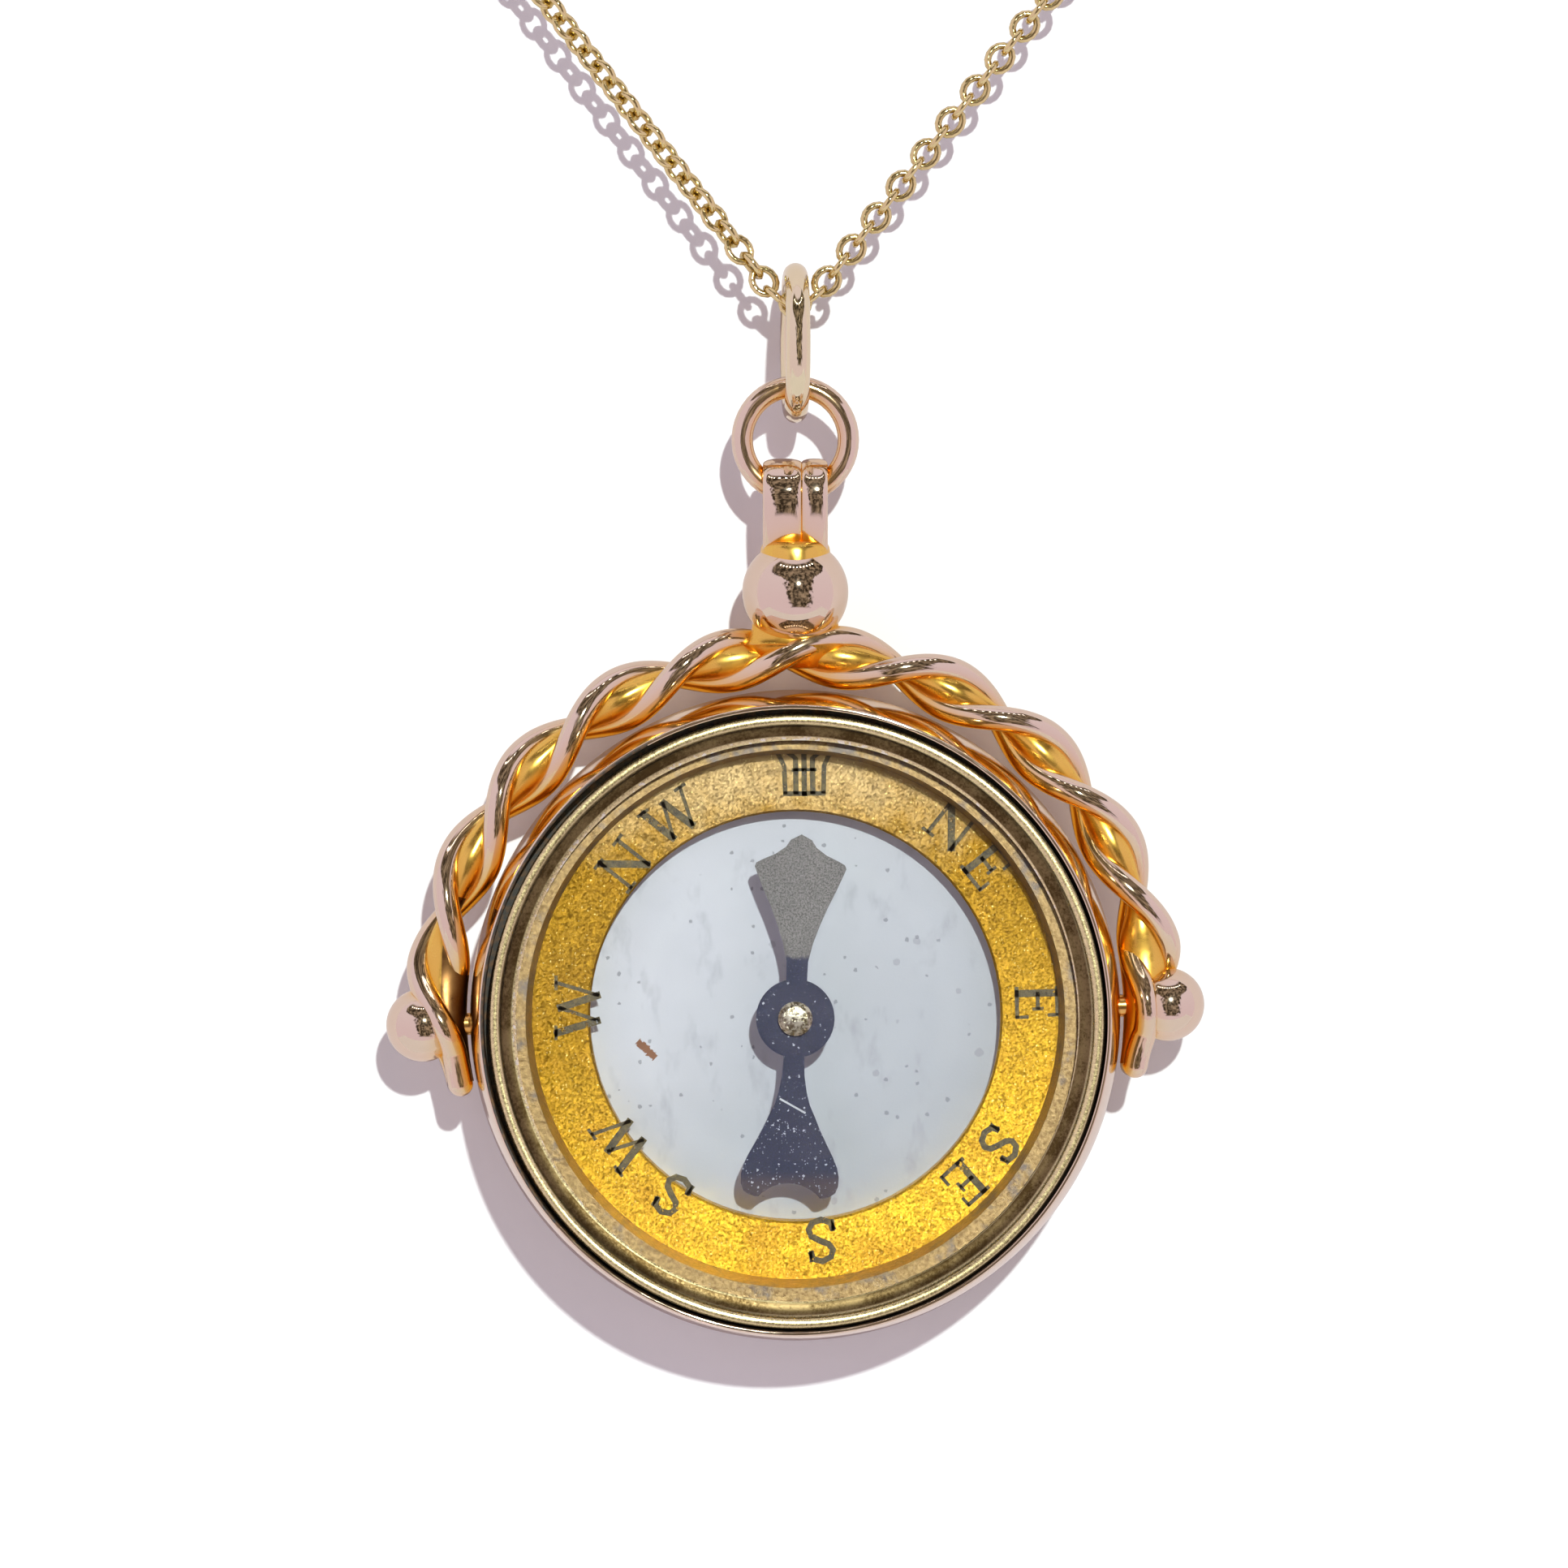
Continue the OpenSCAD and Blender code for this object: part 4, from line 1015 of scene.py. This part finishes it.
class PENDANT_OT_stage(bpy.types.Operator):
    """Sets up the camera, the white backdrop, the floor and the light"""
    bl_idname = "pendant.stage"
    bl_label = "Stage"

    def execute(self, context):
        s = context.scene.pendant_stage
        self.camera(context)
        self.surroundings(context)
        self.key(context, s)
        self.floor(context)
        if s.show_board:
            self.board(context, s)
        return {"FINISHED"}

    def camera(self, context):
        """A long lens, slightly from above, that frames what the photo shows."""
        data = bpy.data.cameras.new("Photo camera")
        cam = bpy.data.objects.new("Photo camera", data)
        context.scene.collection.objects.link(cam)
        tip = radians(2.5)
        away = 300 * MM
        target = Vector((-0.42 * MM, 0, CASE_Z + 8.636 * MM))
        cam.location = target + away * Vector((0, -cos(tip), sin(tip)))
        cam.rotation_euler = (pi / 2 - tip, 0, 0)
        data.sensor_width = 36
        shown = 1932 / 33 * MM  # the photo's width at 33 pixels to the millimetre
        data.lens = data.sensor_width * away / shown
        data.clip_start = 0.01
        data.clip_end = 10
        context.scene.camera = cam

    def surroundings(self, context):
        """A white studio, dark only where the camera stands, with a row of small lamps."""
        world = bpy.data.worlds.new("White studio")
        context.scene.world = world
        world.use_nodes = True
        world.node_tree.nodes.clear()
        w = Wiring(world.node_tree)
        out_way = w.add("ShaderNodeTexCoord").outputs["Generated"]
        way = w.add("ShaderNodeSeparateXYZ", {"Vector": out_way})
        x, y, z = (way.outputs[i] for i in range(3))
        up = w.math("DEGREES", w.math("ARCSINE", z))
        round_ = w.math("DEGREES", w.math("ARCTAN2", x, w.times(y, -1.0)))
        half = w.plus(w.span(up, -26, 30, 22, 32), w.span(up, 24, 46, 0, 52, True))
        ragged = w.span(w.noise(out_way, 4.5, 3.0, 0.6), 0.3, 0.7, -9, 9)
        off = w.plus(w.math("ABSOLUTE", w.minus(round_, 10)), ragged)
        inside = w.span(w.minus(half, off), -2, 4, 0.0, 1.0, True)
        below_top = w.span(up, 62, 67, 1.0, 0.0, True)
        above_tip = w.span(up, -34, -30, 0.0, 1.0, True)
        dark = w.times(w.times(inside, below_top), above_tip)
        lamp_row = w.span(w.math("ABSOLUTE", w.minus(up, 57)), 0.9, 1.7, 1.0, 0.0, True)
        step = w.math("ABSOLUTE", w.minus(w.math("FRACT", w.times(round_, 1 / 12)), 0.5))
        lamps = w.times(w.times(lamp_row, w.span(step, 0.1, 0.2, 1.0, 0.0, True)),
                        w.math("LESS_THAN", off, 66))
        white = w.mix(w.span(z, -0.3, 0.8), (0.74, 0.63, 0.73), (0.77, 0.69, 0.79))
        clutter = w.span(w.noise(out_way, 9, 4.0, 0.7), 0.44, 0.62)
        murk = w.mix(clutter, (0.03, 0.022, 0.014), (0.40, 0.32, 0.24))
        tone = w.mix(lamps, w.mix(dark, white, murk), (1, 1, 1))
        strength = w.plus(1.0, w.times(lamps, 7.0))
        seen = w.add("ShaderNodeLightPath").outputs["Is Camera Ray"]
        room = w.add("ShaderNodeBackground", {"Color": tone, "Strength": strength})
        plain = w.add("ShaderNodeBackground", {"Color": (1, 1, 1, 1), "Strength": 1.0})
        w.add("ShaderNodeOutputWorld", {"Surface": w.blend(seen, room, plain)})
        context.scene.view_settings.view_transform = "Standard"

    def key(self, context, s):
        """A small sharp lamp from the upper front, a little to the right."""
        data = bpy.data.lights.new("Key", "SUN")
        data.energy = s.key_strength
        data.angle = radians(1.4)
        data.color = (0.92, 1.0, 0.92)
        lamp = bpy.data.objects.new("Key", data)
        context.scene.collection.objects.link(lamp)
        way = Vector((-0.14, 1.0, -0.36))
        lamp.rotation_euler = way.to_track_quat("-Z", "Y").to_euler()

    def sheet(self, context, name, corners, faces, mat):
        mesh = bpy.data.meshes.new(name)
        mesh.from_pydata(corners, [], faces)
        mesh.materials.append(mat)
        obj = bpy.data.objects.new(name, mesh)
        context.scene.collection.objects.link(obj)
        return obj

    def floor(self, context):
        mat, w, skin, place, _ = new_material("Pale floor")
        tone = w.mix(w.noise(place, 60, 3.0), (0.80, 0.80, 0.80), (0.84, 0.84, 0.84))
        w.fill(skin, {"Base Color": tone, "Roughness": 0.8})
        half_w, half_d = 0.25, 0.12
        corners = [(x, y, CASE_Z - 0.12) for x, y in ((-half_w, -half_d), (half_w, -half_d),
                                                      (half_w, half_d), (-half_w, half_d))]
        self.sheet(context, "pale_floor", corners, [(0, 1, 2, 3)], mat)

    def board(self, context, s):
        """A bent white board that shows from the front only and gives way when the case moves."""
        lean = radians(2.4)
        half_w, low, high, bend, rows = 0.2, -0.1, 0.24, 0.042, 40
        corners = []
        for k in range(rows + 1):
            h = low + (high - low) * k / rows
            back = s.board_gap - min(h, bend) * tan(lean) + 0.002 * ease((h - bend) / bend)
            corners += [(-half_w, back, CASE_Z + h), (half_w, back, CASE_Z + h)]
        mat, w, skin, place, out = new_material("White board")
        seen = w.mix(w.noise(place, 400), (0.93, 0.92, 0.97), (0.95, 0.94, 0.99))
        ray = w.add("ShaderNodeLightPath").outputs["Is Camera Ray"]
        w.fill(skin, {"Base Color": w.mix(ray, (0.60, 0.545, 0.58), seen), "Roughness": 1.0,
                      "Specular IOR Level": 0.0})
        behind = w.add("ShaderNodeNewGeometry").outputs["Backfacing"]
        w.put(out.inputs["Surface"], w.blend(behind, skin, w.add("ShaderNodeBsdfTransparent")))
        strips = [(2 * k, 2 * k + 1, 2 * k + 3, 2 * k + 2) for k in range(rows)]
        obj = self.sheet(context, "white_board", corners, strips, mat)
        obj.data.polygons.foreach_set("use_smooth", [True] * len(strips))
        for end, turn in (("max", 20), ("min", -20)):
            give = obj.constraints.new("TRANSFORM")
            give.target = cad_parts["glass"]
            give.map_from, give.map_to, give.mix_mode = "ROTATION", "LOCATION", "ADD"
            give.from_rotation_mode = "XYZ"
            give.map_to_x_from = give.map_to_y_from = give.map_to_z_from = "X"
            setattr(give, f"from_{end}_x_rot", radians(turn))
            setattr(give, f"to_{end}_y", 0.07)


class PENDANT_PT_panel(bpy.types.Panel):
    """Lists the pendant's pieces and their settings"""
    bl_label = "Compass Pendant"
    bl_idname = "PENDANT_PT_panel"
    bl_space_type = "VIEW_3D"
    bl_region_type = "UI"
    bl_category = "Pendant"

    def draw(self, context):
        for settings, kind in SETTINGS.items():
            box = self.layout.box()
            for name in kind.__annotations__:
                box.prop(getattr(context.scene, settings), name)
        for op in OPERATORS:
            self.layout.operator(op.bl_idname)


OPERATORS = (PENDANT_OT_stage, PENDANT_OT_chain, PENDANT_OT_rings, PENDANT_OT_arch, PENDANT_OT_case,
             PENDANT_OT_compass, PENDANT_OT_letters)
SETTINGS = {"pendant_chain": ChainSettings, "pendant_arch": ArchSettings,
            "pendant_compass": CompassSettings, "pendant_stage": StageSettings}
CLASSES = (*SETTINGS.values(), *OPERATORS, PENDANT_PT_panel)


def register():
    for c in CLASSES:
        bpy.utils.register_class(c)
    for name, kind in SETTINGS.items():
        setattr(bpy.types.Scene, name, PointerProperty(type=kind))


def unregister():
    for name in SETTINGS:
        delattr(bpy.types.Scene, name)
    for c in reversed(CLASSES):
        bpy.utils.unregister_class(c)


def main():
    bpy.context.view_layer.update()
    register()
    bpy.ops.pendant.stage()
    bpy.ops.pendant.chain()
    bpy.ops.pendant.rings()
    bpy.ops.pendant.arch()
    bpy.ops.pendant.case()
    bpy.ops.pendant.compass()
    bpy.ops.pendant.letters()
    bpy.context.view_layer.update()


if __name__ == "__main__":
    main()
